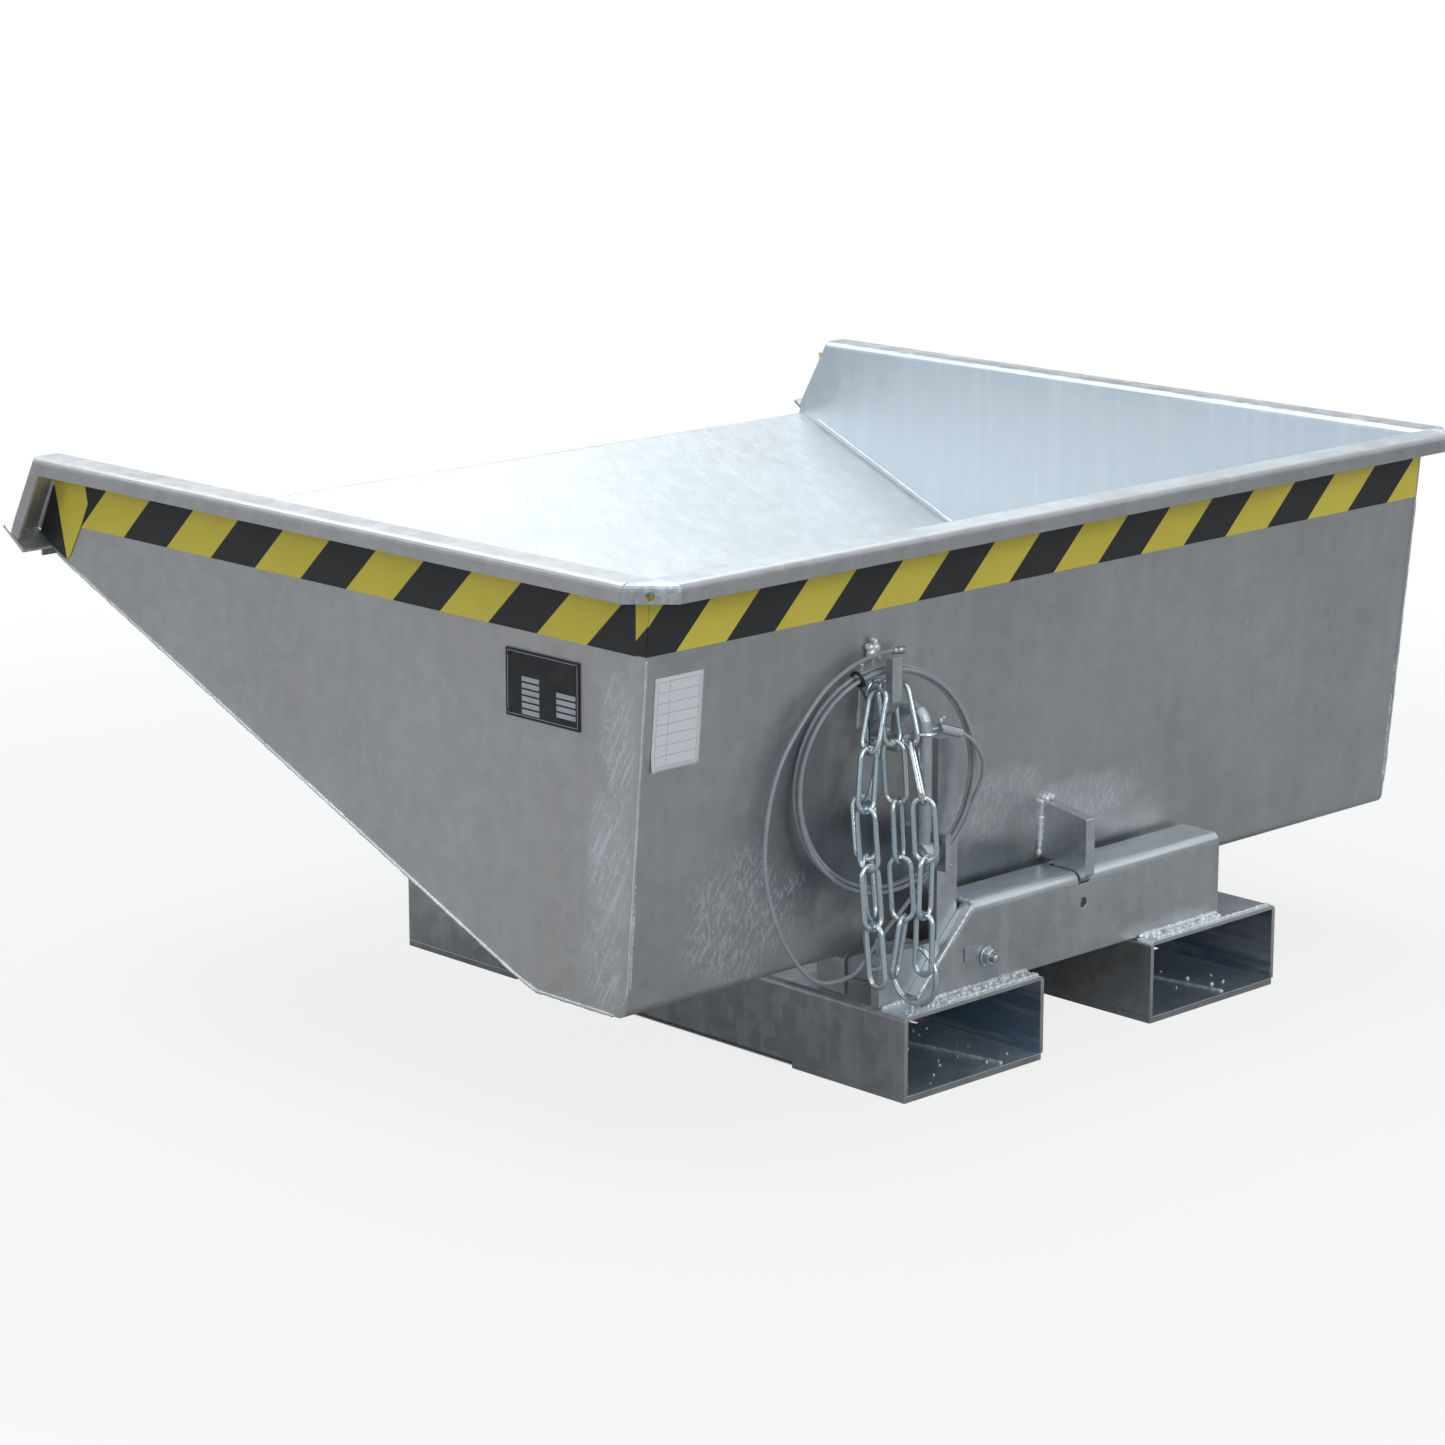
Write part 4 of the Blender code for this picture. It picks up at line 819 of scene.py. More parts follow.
        # Light patches: scuff strokes, and painted highlights where a patch is solid.
        if finish.light:
            strokes = graph.add("ShaderNodeGroup", props={"node_tree": self.scuffs}, Place=place)
            for patch in finish.light:
                marks = graph.between(strokes.outputs["Strokes"], out_low=patch.solid)
                mask = graph.math("MULTIPLY", self.patch_mask(graph, place, patch), marks)
                light = graph.math("MAXIMUM", light, graph.math("MULTIPLY", mask, patch.strength))
        # Edges painted brighter: painted edge highlights, and rubbed zinc.
        if finish.worn:
            rubbed = graph.math("MULTIPLY", self.edge_mask(graph), finish.worn)
            light = graph.math("MAXIMUM", light, rubbed)
        return light

    def bump(self, graph: Graph, shader: bpy.types.Node, height: Socket, distance: float,
             soften: float = 0.0) -> None:
        """Gives a shader unevenness and, if wanted, edges shown rounded.

        Args:
            graph: The material's graph.
            shader: Its shader.
            height: The unevenness from 0 to 1.
            distance: How high 1 is.
            soften: The radius of the rounded edges.
        """
        node = graph.add("ShaderNodeBump", Height=height, Distance=distance, Strength=self.BUMP_STRENGTH)
        if soften:
            graph.link(self.rounded(graph, soften), node, "Normal")
        graph.link(node.outputs[0], shader, "Normal")

    def bright(self, name: str, colour: Colour, roughness: float) -> Material:
        """Bright zinc plate: a mirror-like grey, blue to yellow, with painted shade at its grazing rim, and
        rubbed in places.

        Args:
            name: The material's name.
            colour: Its colour.
            roughness: Its mean roughness.

        Returns:
            The material.
        """
        material, graph, shader, place = self.start(name)
        tinge = graph.between(graph.noise(place, scale=38.0, label="tinge"), low=0.35, high=0.65)
        warm, blue, dark = (tuple(min(c * k, 1) for c, k in zip(colour, shares)) for shares in self.TINGES)
        # A darker rim where the surface turns from the view: painted shade and dark reflection.
        rim = graph.add("ShaderNodeLayerWeight", Blend=0.5).outputs["Facing"]
        grazing_shade = graph.between(rim, low=0.42, high=0.88, out_low=0.0, out_high=0.9)
        graph.link(graph.mix(grazing_shade, graph.mix(tinge, blue, warm), dark), shader, "Base Color")
        rubbed = graph.noise(place, scale=260.0, roughness=0.6, label="rubbing")
        rough = graph.between(rubbed, low=0.3, high=0.8, out_low=roughness, out_high=roughness + 0.2)
        graph.link(rough, shader, "Roughness")
        shader.inputs["Metallic"].default_value = 1.0
        wire = graph.noise(place, scale=500.0, detail=2.0, label="drawn wire")
        self.bump(graph, shader, wire, distance=0.0002)
        return material

    def plastic(self, name: str, colour: Colour, roughness: float, coat: float = 0.0,
                dirt: float = 1.0) -> Material:
        """A moulded or sheathed surface with faint dirt and grain.

        Args:
            name: The material's name.
            colour: Its colour.
            roughness: Its mean roughness.
            coat: The weight of a clear coat.
            dirt: How strongly dirt shows.

        Returns:
            The material.
        """
        material, graph, shader, place = self.start(name)
        grime = graph.noise(place, scale=55.0, detail=4.0, label="dirt")
        soiled = graph.between(grime, low=0.35, high=0.75, out_low=0.0, out_high=dirt)
        dusty = tuple(min(c * 1.25 + 0.02, 1) if c < 0.5 else c * 0.8 for c in colour)
        graph.link(graph.mix(soiled, colour, dusty), shader, "Base Color")
        rough = graph.between(soiled, out_low=roughness - 0.05, out_high=roughness + 0.12)
        graph.link(rough, shader, "Roughness")
        shader.inputs["Coat Weight"].default_value = coat
        self.bump(graph, shader, graph.noise(place, scale=700.0, detail=2.0, label="grain"), distance=0.0001)
        return material

    def striped(self, name: str, yellow: Colour, black: Colour) -> Material:
        """Hazard tape. U counts the stripes, so that an even one is yellow and an odd one black.

        Args:
            name: The material's name.
            yellow: The yellow stripes' colour.
            black: The black stripes' colour.

        Returns:
            The material.
        """
        material, graph, shader, place = self.start(name)
        uv = graph.add("ShaderNodeUVMap", props={"uv_map": STRIPE_MAP}).outputs[0]
        u = graph.add("ShaderNodeSeparateXYZ", Vector=uv).outputs[0]
        part = graph.math("FRACT", graph.math("MULTIPLY", u, 0.5))
        second_half = graph.between(part, low=0.497, high=0.503)
        next_pair = graph.between(part, low=0.994, high=1.0)
        is_black = graph.math("SUBTRACT", second_half, next_pair, clamp=True)
        wear = graph.noise(place, scale=70.0, detail=6.0, roughness=0.7, label="wear")
        worn = graph.between(wear, low=0.4, high=0.85)
        pale = graph.between(graph.noise(place, scale=9.0, label="fading"), low=0.3, high=0.7)
        sunned = graph.mix(pale, yellow, tuple(c * k for c, k in zip(yellow, self.SUNNED)))
        dull = graph.mix(graph.math("MULTIPLY", worn, 0.6), black, tuple(c * self.DULLED for c in black))
        graph.link(graph.mix(is_black, sunned, dull), shader, "Base Color")
        graph.link(graph.between(worn, out_low=0.5, out_high=0.68), shader, "Roughness")
        self.bump(graph, shader, graph.noise(place, scale=350.0, label="film"), distance=0.0002)
        return material


# The stage


@dataclass(frozen=True)
class CameraPlace:
    """The photograph's camera, as fitted to the skip's straight edges."""

    location: Triple = (-2.8185, -2.8622, 1.2005)
    turn_degrees: Triple = (76.37, 0.0, -44.05)
    lens: float = 103.81
    sensor: float = 36.0
    clip_end: float = 60.0


@dataclass(frozen=True)
class Lamp:
    """One area light, aimed at a point."""

    name: str
    place: Triple
    target: Triple
    size: float
    power: float
    colour: Colour


class Studio:
    """Camera, floor, surroundings and lights."""

    CAMERA = CameraPlace()
    LAMPS = (
        Lamp("sky_light", place=(0.4, 1.2, 3.4), target=(0.0, 0.1, 0.2), size=3.6, power=90.0,
             colour=(0.9, 0.96, 1.0)),
        Lamp("side_light", place=(-4.2, 0.6, 1.8), target=(-0.3, 0.0, 0.2), size=1.6, power=15.0,
             colour=(1.0, 0.99, 0.97)),
        Lamp("rear_light", place=(-0.4, -4.2, 2.3), target=(0.0, -0.4, 0.2), size=1.6, power=30.0,
             colour=(0.98, 0.99, 1.0)),
    )
    WHITE: Colour = (1.0, 1.0, 1.0)
    FLOOR_HALF = 14.0
    FLOOR_SEEN: Colour = (0.62, 0.62, 0.62)
    FLOOR_LIT: Colour = (0.4, 0.405, 0.41)
    FLOOR_GLOW = 0.82
    # How far from the middle the floor starts to fade, and is quite white.
    FADE_START = 0.9
    FADE_END = 2.2
    # The shaded ground under the pockets, in the frame: the least X and Y of each part, and the greatest.
    SHADES = (((-0.2555, -0.449), (-0.0795, 0.234)), ((-0.081, -0.3), (-0.05, 0.234)),
              ((0.0795, -0.449), (0.2555, 0.234)))
    SHADE_EDGE = 0.004
    SKY_DIFFUSE = 0.6
    SKY_GLOSSY = 0.95
    # The sky's colours at three heights, 0 being level and 1 straight up.
    SKY_BANDS: tuple[tuple[float, Colour], ...] = (
        (0.02, (0.3, 0.32, 0.34)), (0.22, (0.52, 0.56, 0.6)), (0.75, (0.88, 0.95, 1.0)),
    )

    def build(self) -> None:
        """Sets the scene up."""
        scene = bpy.context.scene
        scene.view_settings.view_transform = "Standard"
        data = bpy.data.cameras.new("camera")
        data.lens = self.CAMERA.lens
        data.sensor_width = self.CAMERA.sensor
        data.clip_end = self.CAMERA.clip_end
        camera = bpy.data.objects.new("camera", data)
        camera.location = self.CAMERA.location
        camera.rotation_euler = [math.radians(a) for a in self.CAMERA.turn_degrees]
        scene.collection.objects.link(camera)
        scene.camera = camera
        for lamp in self.LAMPS:
            self.add_lamp(lamp)
        self.add_surroundings(scene)
        self.add_floor(scene)
        log.info("studio: camera, floor, sky and %d lights", len(self.LAMPS))

    def add_lamp(self, lamp: Lamp) -> None:
        """Adds one area light.

        Args:
            lamp: Its place and strength.
        """
        data = bpy.data.lights.new(lamp.name, "AREA")
        data.energy = lamp.power
        data.size = lamp.size
        data.color = lamp.colour
        light = bpy.data.objects.new(lamp.name, data)
        light.location = lamp.place
        aim = Vector(lamp.target) - Vector(lamp.place)
        light.rotation_euler = aim.to_track_quat("-Z", "Y").to_euler()
        bpy.context.scene.collection.objects.link(light)

    def add_surroundings(self, scene: bpy.types.Scene) -> None:
        """A white sky for the camera, and a dimmer one that lights the skip.

        Args:
            scene: The scene.
        """
        world = bpy.data.worlds.new("surroundings")
        scene.world = world
        world.use_nodes = True
        graph = Graph(world.node_tree)
        background = world.node_tree.nodes["Background"]
        rays = graph.add("ShaderNodeLightPath")
        way = graph.add("ShaderNodeTexCoord").outputs["Generated"]
        height = graph.add("ShaderNodeSeparateXYZ", Vector=way).outputs[2]
        bands = graph.add("ShaderNodeValToRGB", "horizon darker than the sky", Fac=height)
        elements = bands.color_ramp.elements
        elements.new(0.5)
        for element, (position, band) in zip(elements, self.SKY_BANDS):
            element.position = position
            element.color = (*band, 1.0)
        glossy = graph.math("MULTIPLY", rays.outputs["Is Glossy Ray"], self.SKY_GLOSSY - self.SKY_DIFFUSE)
        level = graph.grey(graph.math("ADD", glossy, self.SKY_DIFFUSE))
        lit = graph.mix(1.0, bands.outputs[0], level, "MULTIPLY")
        colour = graph.mix(rays.outputs["Is Camera Ray"], lit, self.WHITE)
        graph.link(colour, background, "Color")
        background.inputs["Strength"].default_value = 1.0

    def open_ground(self, graph: Graph, place: Socket) -> Socket:
        """0 on the shaded ground under the two pockets, which are open below, and 1 elsewhere.

        Args:
            graph: The floor's graph.
            place: The object coordinates.

        Returns:
            The share of ground in the open.
        """
        split = graph.add("ShaderNodeSeparateXYZ", Vector=place)
        open_share = 1.0
        for low, high in self.SHADES:
            inside = 1.0
            for axis in (0, 1):
                middle, reach = (low[axis] + high[axis]) / 2, (high[axis] - low[axis]) / 2
                off = graph.math("ABSOLUTE", graph.math("SUBTRACT", split.outputs[axis], middle))
                within = graph.between(off, reach - self.SHADE_EDGE, reach, out_low=1.0, out_high=0.0)
                inside = graph.math("MULTIPLY", inside, within)
            open_share = graph.math("SUBTRACT", open_share, inside, clamp=True)
        return open_share

    def add_floor(self, scene: bpy.types.Scene) -> None:
        """A pale floor that fades into the white sky far away.

        Args:
            scene: The scene.
        """
        half = self.FLOOR_HALF
        mesh = bpy.data.meshes.new("floor")
        corners = [(-half, -half, 0), (half, -half, 0), (half, half, 0), (-half, half, 0)]
        mesh.from_pydata(corners, [], [(0, 1, 2, 3)])
        floor = bpy.data.objects.new("floor", mesh)
        scene.collection.objects.link(floor)
        material = bpy.data.materials.new("floor_paint")
        material.use_nodes = True
        tree = material.node_tree
        graph = Graph(tree)
        place = graph.add("ShaderNodeTexCoord").outputs["Object"]
        fade = graph.between(graph.vector("LENGTH", place), self.FADE_START, self.FADE_END)
        glow = graph.add("ShaderNodeEmission", Color=(*self.WHITE, 1.0), Strength=1.0)
        matt = tree.nodes["Principled BSDF"]
        matt.inputs["Roughness"].default_value = 0.9
        matt.inputs["Specular IOR Level"].default_value = 0.1
        seen = graph.add("ShaderNodeLightPath").outputs["Is Camera Ray"]
        graph.link(graph.mix(seen, self.FLOOR_LIT, self.FLOOR_SEEN), matt, "Base Color")
        shining = graph.between(fade, out_low=self.FLOOR_GLOW)
        share = graph.math("MULTIPLY", shining, seen)
        share = graph.math("MULTIPLY", share, self.open_ground(graph, place))
        blend = graph.add("ShaderNodeMixShader", in0=share, in1=matt.outputs[0], in2=glow.outputs[0])
        graph.link(blend.outputs[0], tree.nodes["Material Output"], "Surface")
        mesh.materials.append(material)


# The release cable


@dataclass(frozen=True)
class CableSizes:
    """The release cable's sizes and routes, as in the part's source.

    The Y of the coil is given at its right, top, left and bottom. Its turns lie in a bundle, and go once
    round its middle in bundle_lays turns. The stop's profile holds places along it and its radius there, as
    shares.
    """

    diameter: float = 0.004
    length: float = 2.552
    gap: float = 0.0003
    turns: int = 3
    turn_points: int = 48
    coil_x: float = -0.25
    coil_z: float = 0.289
    radius_x: float = 0.092
    radius_z: float = 0.101
    right_y: float = 0.015
    top_y: float = 0.034
    left_y: float = 0.054
    low_y: float = 0.038
    bundle: float = 0.0034
    bundle_lays: int = 4
    first_lay: float = math.radians(315)
    start: float = math.radians(-20)
    end: float = math.radians(-45)
    sleeve_start: Triple = (-0.208, 0.0125, 0.333)
    sleeve_end: Triple = (-0.1815, 0.011, 0.324)
    run_route: tuple[Triple, ...] = (
        (-0.169, 0.006, 0.315), (-0.1585, 0.004, 0.297), (-0.156, 0.007, 0.279),
    )
    tail_route: tuple[Triple, ...] = (
        (-0.204, 0.033, 0.188), (-0.22, 0.04, 0.166), (-0.24, 0.047, 0.143),
        (-0.258, 0.05, 0.123), (-0.28, 0.05, 0.111), (-0.33, 0.044, 0.12),
        (-0.375, 0.04, 0.17), (-0.396, 0.039, 0.24), (-0.378, 0.042, 0.315),
        (-0.33, 0.044, 0.37), (-0.29, 0.043, 0.394), (-0.25, 0.042, 0.402),
        (-0.225, 0.0415, 0.401),
    )
    stop_length: float = 0.014
    stop_diameter: float = 0.0068
    stop_profile: Profile = (
        (0.0, 0.8), (0.06, 1.0), (0.3, 1.0), (0.36, 0.82), (0.48, 0.82), (0.54, 1.0), (0.94, 1.0), (1.0, 0.8),
    )


class ReleaseCable:
    """The grey cable from the latch: a short run, a coil on the hook, a loose loop and a crimped stop."""

    def __init__(self, sizes: CableSizes, paints: Paints) -> None:
        """Args:
            sizes: The cable's sizes.
            paints: The materials' builder.
        """
        self.sizes = sizes
        self.sheath = paints.plastic("cable_sheath", (0.4, 0.425, 0.465), roughness=0.28, coat=0.35, dirt=0.5)
        self.metal = paints.bright("crimped_sleeve", (0.62, 0.65, 0.68), roughness=0.28)

    def bundle_middle(self, angle: Points | float) -> Points:
        """The middle of the coil's bundle of turns: an oval whose Y swings once and twice round.

        Args:
            angle: Angles round the oval, from its right.

        Returns:
            A point as drawn for each angle.
        """
        s = self.sizes
        mean = (s.right_y + s.left_y + s.top_y + s.low_y) / 4
        twist = (s.right_y + s.left_y - s.top_y - s.low_y) / 4
        c, z = np.cos(angle), np.sin(angle)
        y = mean + (s.right_y - s.left_y) / 2 * c + (s.top_y - s.low_y) / 2 * z + twist * np.cos(2 * angle)
        return np.stack([s.coil_x + s.radius_x * c, y, s.coil_z + s.radius_z * z], axis=-1)

    def coil(self) -> Points:
        """The coil's points, one oval turn after another, their bundle twisting slowly.

        Returns:
            Points as drawn.
        """
        s = self.sizes
        whole = TAU * s.turns + (s.start - s.end)
        done = np.linspace(0, whole, round(whole / TAU * s.turn_points) + 1)
        angle, lay = s.start - done, s.first_lay - done / s.bundle_lays
        out = s.bundle * np.cos(lay)
        beside = np.stack([out * np.cos(angle), s.bundle * np.sin(lay), out * np.sin(angle)], axis=-1)
        return self.bundle_middle(angle) + beside

    def path(self) -> Points:
        """The whole cable's middle line, as drawn.

        Returns:
            Points from the sleeve to the stop.
        """
        s = self.sizes
        sleeve_start, sleeve_end = np.array(s.sleeve_start), np.array(s.sleeve_end)
        along = normalised(sleeve_end - sleeve_start)
        start = sleeve_end + along * s.gap * 2
        coil = self.coil()
        into, from_coil = normalised(coil[1] - coil[0]), normalised(coil[-1] - coil[-2])
        near, far = coil[0] - into * s.diameter, coil[-1] + from_coil * s.diameter
        run = np.vstack([start + along * s.diameter, s.run_route, near - into * (s.diameter + s.gap)])
        tail = np.vstack([far + from_coil * (s.diameter + s.gap), s.tail_route])
        spacing = s.diameter * 1.5
        return np.vstack([start, resampled(run, spacing), near, coil, far, resampled(tail, spacing)])

    def build(self) -> bpy.types.Object:
        """Returns:
            The cable.
        """
        s = self.sizes
        path = self.path()
        log.info("release cable: %.3f m", length_of(path))
        placed = in_frame(path)
        curve = bpy.data.curves.new("release_cable", "CURVE")
        curve.dimensions = "3D"
        curve.bevel_depth = s.diameter / 2
        curve.bevel_resolution = 4
        curve.use_fill_caps = True
        spline = curve.splines.new("POLY")
        spline.points.add(len(placed) - 1)
        spline.points.foreach_set("co", np.hstack([placed, np.ones((len(placed), 1))]).ravel())
        spline.use_smooth = True
        curve.materials.append(self.sheath)
        cable = bpy.data.objects.new("release_cable", curve)
        bpy.context.scene.collection.objects.link(cable)
        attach(cable, Body.TUB.value)
        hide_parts("release_cable_run", "release_cable_coil", "release_cable_tail")
        ending = normalised(path[-1] - path[-2])
        half, full = s.stop_diameter / 2, s.stop_length
        stations = [(full * along, half * wide) for along, wide in s.stop_profile]
        shape = lathe(path[-1] - ending * full * 0.8, ending, stations, sides=20)
        stop = add_mesh("cable_stop", *shape, self.metal, Body.TUB)
        return cable


# Hazard tape and labels


@dataclass(frozen=True)
class StripSizes:
    """One strip of hazard tape.

    Attributes:
        low: The height of its lower edge.
        high: The height of its upper edge, hidden under the rim.
        start: Where it starts along the wall.
        end: Where it ends.
        level: The height at which the stripes' places are measured.
        slant: How far a stripe leans along the wall for each metre of height.
        first: The place of its first boundary between stripes.
        width: The first stripe's width.
        growth: How much the width grows, as the place's part that goes with the count's square.
        most: The count at which the boundaries end.
    """

    low: float
    high: float
    start: float
    end: float
    level: float
    slant: float
    first: float
    width: float
    growth: float
    most: int

    def along(self, step: float) -> Points:
        """Places along the strip, a step apart."""
        return np.linspace(self.start, self.end, round((self.end - self.start) / step) + 1)

    def count(self, place: Points, height: Points) -> Points:
        """How many stripes lie between the near corner and a place, following the photograph.

        The place is moved down the stripes' slant to the measured height, and read off the boundaries. They
        lie at first + width times n + growth times n squared.

        Args:
            place: Places along the wall.
            height: Their heights.

        Returns:
            The count, which is odd where the stripe is black.
        """
        n = np.arange(-4, self.most, dtype=np.float64)
        at = self.first + self.width * n + self.growth * n**2
        return np.interp(place - (height - self.level) * self.slant, at, n) + 2


class HazardTape:
    """Yellow and black tape under the rim, on both side walls and the rear wall."""

    THICK = 0.0003
    LIFT = 0.00015
    STEP = 0.004
    ROWS = 14
    REAR = StripSizes(low=0.44, high=0.493, start=-0.525, end=0.525, level=0.484, slant=0.91,
                      first=-0.4517, width=0.0577, growth=0.000178, most=21)
    SIDE = StripSizes(low=0.439, high=0.493, start=0.0585, end=0.856, level=0.478, slant=-1.05,
                      first=0.081, width=0.06241, growth=0.000293, most=15)
    # Where the rear strip's ends stop on the side walls, and in how many points along.
    WRAP_Y = 0.06
    WRAP_POINTS = 8
    # Counts in the middle of a yellow stripe and of a black one.
    YELLOW = 0.5
    BLACK = 1.5
    # The Y and Z of the front strips' quads.
    FRONT_YELLOW = (((0.887, 0.494), (0.836, 0.494), (0.8307, 0.464), (0.8835, 0.474)),
                    ((0.8835, 0.474), (0.8307, 0.464), (0.8414, 0.4439), (0.879, 0.453)),
                    ((0.879, 0.453), (0.8414, 0.4439), (0.8627, 0.4091), (0.868, 0.4045)))
    FRONT_BLACK = (((0.887, 0.474), (0.8835, 0.474), (0.868, 0.4045), (0.9125, 0.4225)),)

    def __init__(self, paints: Paints) -> None:
        """Args:
            paints: The materials' builder.
        """
        self.finish = paints.striped("hazard_tape", (0.9, 0.73, 0.085), (0.028, 0.027, 0.028))

    def strip(self, sizes: StripSizes, name: str, points: Points, count: Points) -> None:
        """Adds one strip.

        Args:
            sizes: The strip's sizes.
            name: The piece's name.
            points: The grid's points as drawn, one row for each place along.
            count: The stripes' count at each point.
        """
        rows, columns = points.shape[:2]
        up = (points[..., 2] - sizes.low) / (sizes.high - sizes.low)
        uv = np.stack([count, up], axis=-1).reshape(-1, 2)
        add_film(name, points.reshape(-1, 3), grid_faces(rows, columns), self.finish, self.THICK, uv)
        log.info("%s: %d by %d", name, rows, columns)

    def rear(self) -> None:
        """The rear wall's strip, whose ends are wrapped round the corners."""
        s = self.REAR
        x = np.linspace(s.start - 0.0005, s.end - 0.002, len(s.along(self.STEP)))
        z = np.linspace(s.low, s.high, self.ROWS)
        grid_x, grid_z = np.meshgrid(x, z, indexing="ij")
        y = rear_wall_y(grid_z) - (self.LIFT + self.THICK)
        self.strip(s, "tape_rear", np.stack([grid_x, y, grid_z], axis=-1), s.count(grid_x, grid_z))
        share, height = np.meshgrid(np.linspace(0.0, 1.0, self.WRAP_POINTS), z, indexing="ij")
        corner = rear_wall_y(height)
        y = corner + (self.WRAP_Y - corner) * share
        side = np.full_like(y, s.start - self.LIFT - 2 * self.THICK)
        count = s.count(s.start - (y - corner), height)
        plain = np.full_like(y, self.YELLOW)
        self.strip(s, "tape_corner_left", np.stack([side, y, height], axis=-1)[::-1], count[::-1])
        self.strip(s, "tape_corner_right", np.stack([-side, y, height], axis=-1), plain)

    def sides(self) -> None:
        """The side walls' strips. The left one is as in the photograph, and the right one mirrors it."""
        s = self.SIDE
        z = np.linspace(s.low, s.high, self.ROWS)
        grid_y, grid_z = np.meshgrid(s.along(self.STEP), z, indexing="ij")
        count = s.count(grid_y, grid_z)
        for sign, name in ((-1, "tape_left"), (1, "tape_right")):
            wall = np.full_like(grid_y, sign * (WALL_X + self.LIFT))
            self.strip(s, name, np.stack([wall, grid_y, grid_z], axis=-1)[::sign], count[::sign])

    def fronts(self) -> None:
        """The short slanted strips at the side walls' front edges, laid over the long ones."""
        wall = WALL_X + self.LIFT + 2.2 * self.THICK
        for sign, side in ((-1, "left"), (1, "right")):
            shapes, counts = [], []
            for quads, count in ((self.FRONT_YELLOW, self.YELLOW), (self.FRONT_BLACK, self.BLACK)):
                for quad in quads:
                    points = np.column_stack([np.full(4, sign * wall), quad])
                    shapes.append((points, np.array([[0, 1, 2, 3]])[:, ::sign]))
                    counts.append(np.tile([count, 0.5], (4, 1)))
            add_film(f"tape_front_{side}", *joined(shapes), self.finish, self.THICK, np.vstack(counts))

    def build(self) -> None:
        """Makes all strips."""
        self.rear()
        self.sides()
        self.fronts()


@dataclass(frozen=True)
class LabelSizes:
    """The sizes of what is printed on the type plate and the sticker.

    An area is given as its two ends, its lower edge and its upper one. A column of fields has its two ends,
    its first top edge and its count. The frame's line is a little thicker upright than level. The curl is how
    far the sticker's lower left corner stands off.
    """

    # The left wall's outer face, the gap behind the plate, the plate's thickness and a little more.
    plate_face: float = -WALL_X - 0.0003 - 0.0012 - 0.00008
    columns: tuple[tuple[float, float, float, int], ...] = (
        (0.1347, 0.159, 0.392, 4), (0.1808, 0.2033, 0.3992, 6))
    field_step: float = 0.0058
    field_height: float = 0.0042
    frame: tuple[float, float, float, float] = (0.1322, 0.2218, 0.3642, 0.4198)
    frame_line: tuple[float, float] = (0.0006, 0.0005)
    paper: tuple[float, float, float, float] = (-0.5135, -0.4575, 0.337, 0.4195)
    paper_thick: float = 0.0002
    rules: tuple[float, float, float, float] = (-0.5095, -0.4615, 0.341, 0.4155)
    margin: float = -0.496
    rule_half: float = 0.00022
    curl: float = 0.0022
    curl_reach: float = 0.02


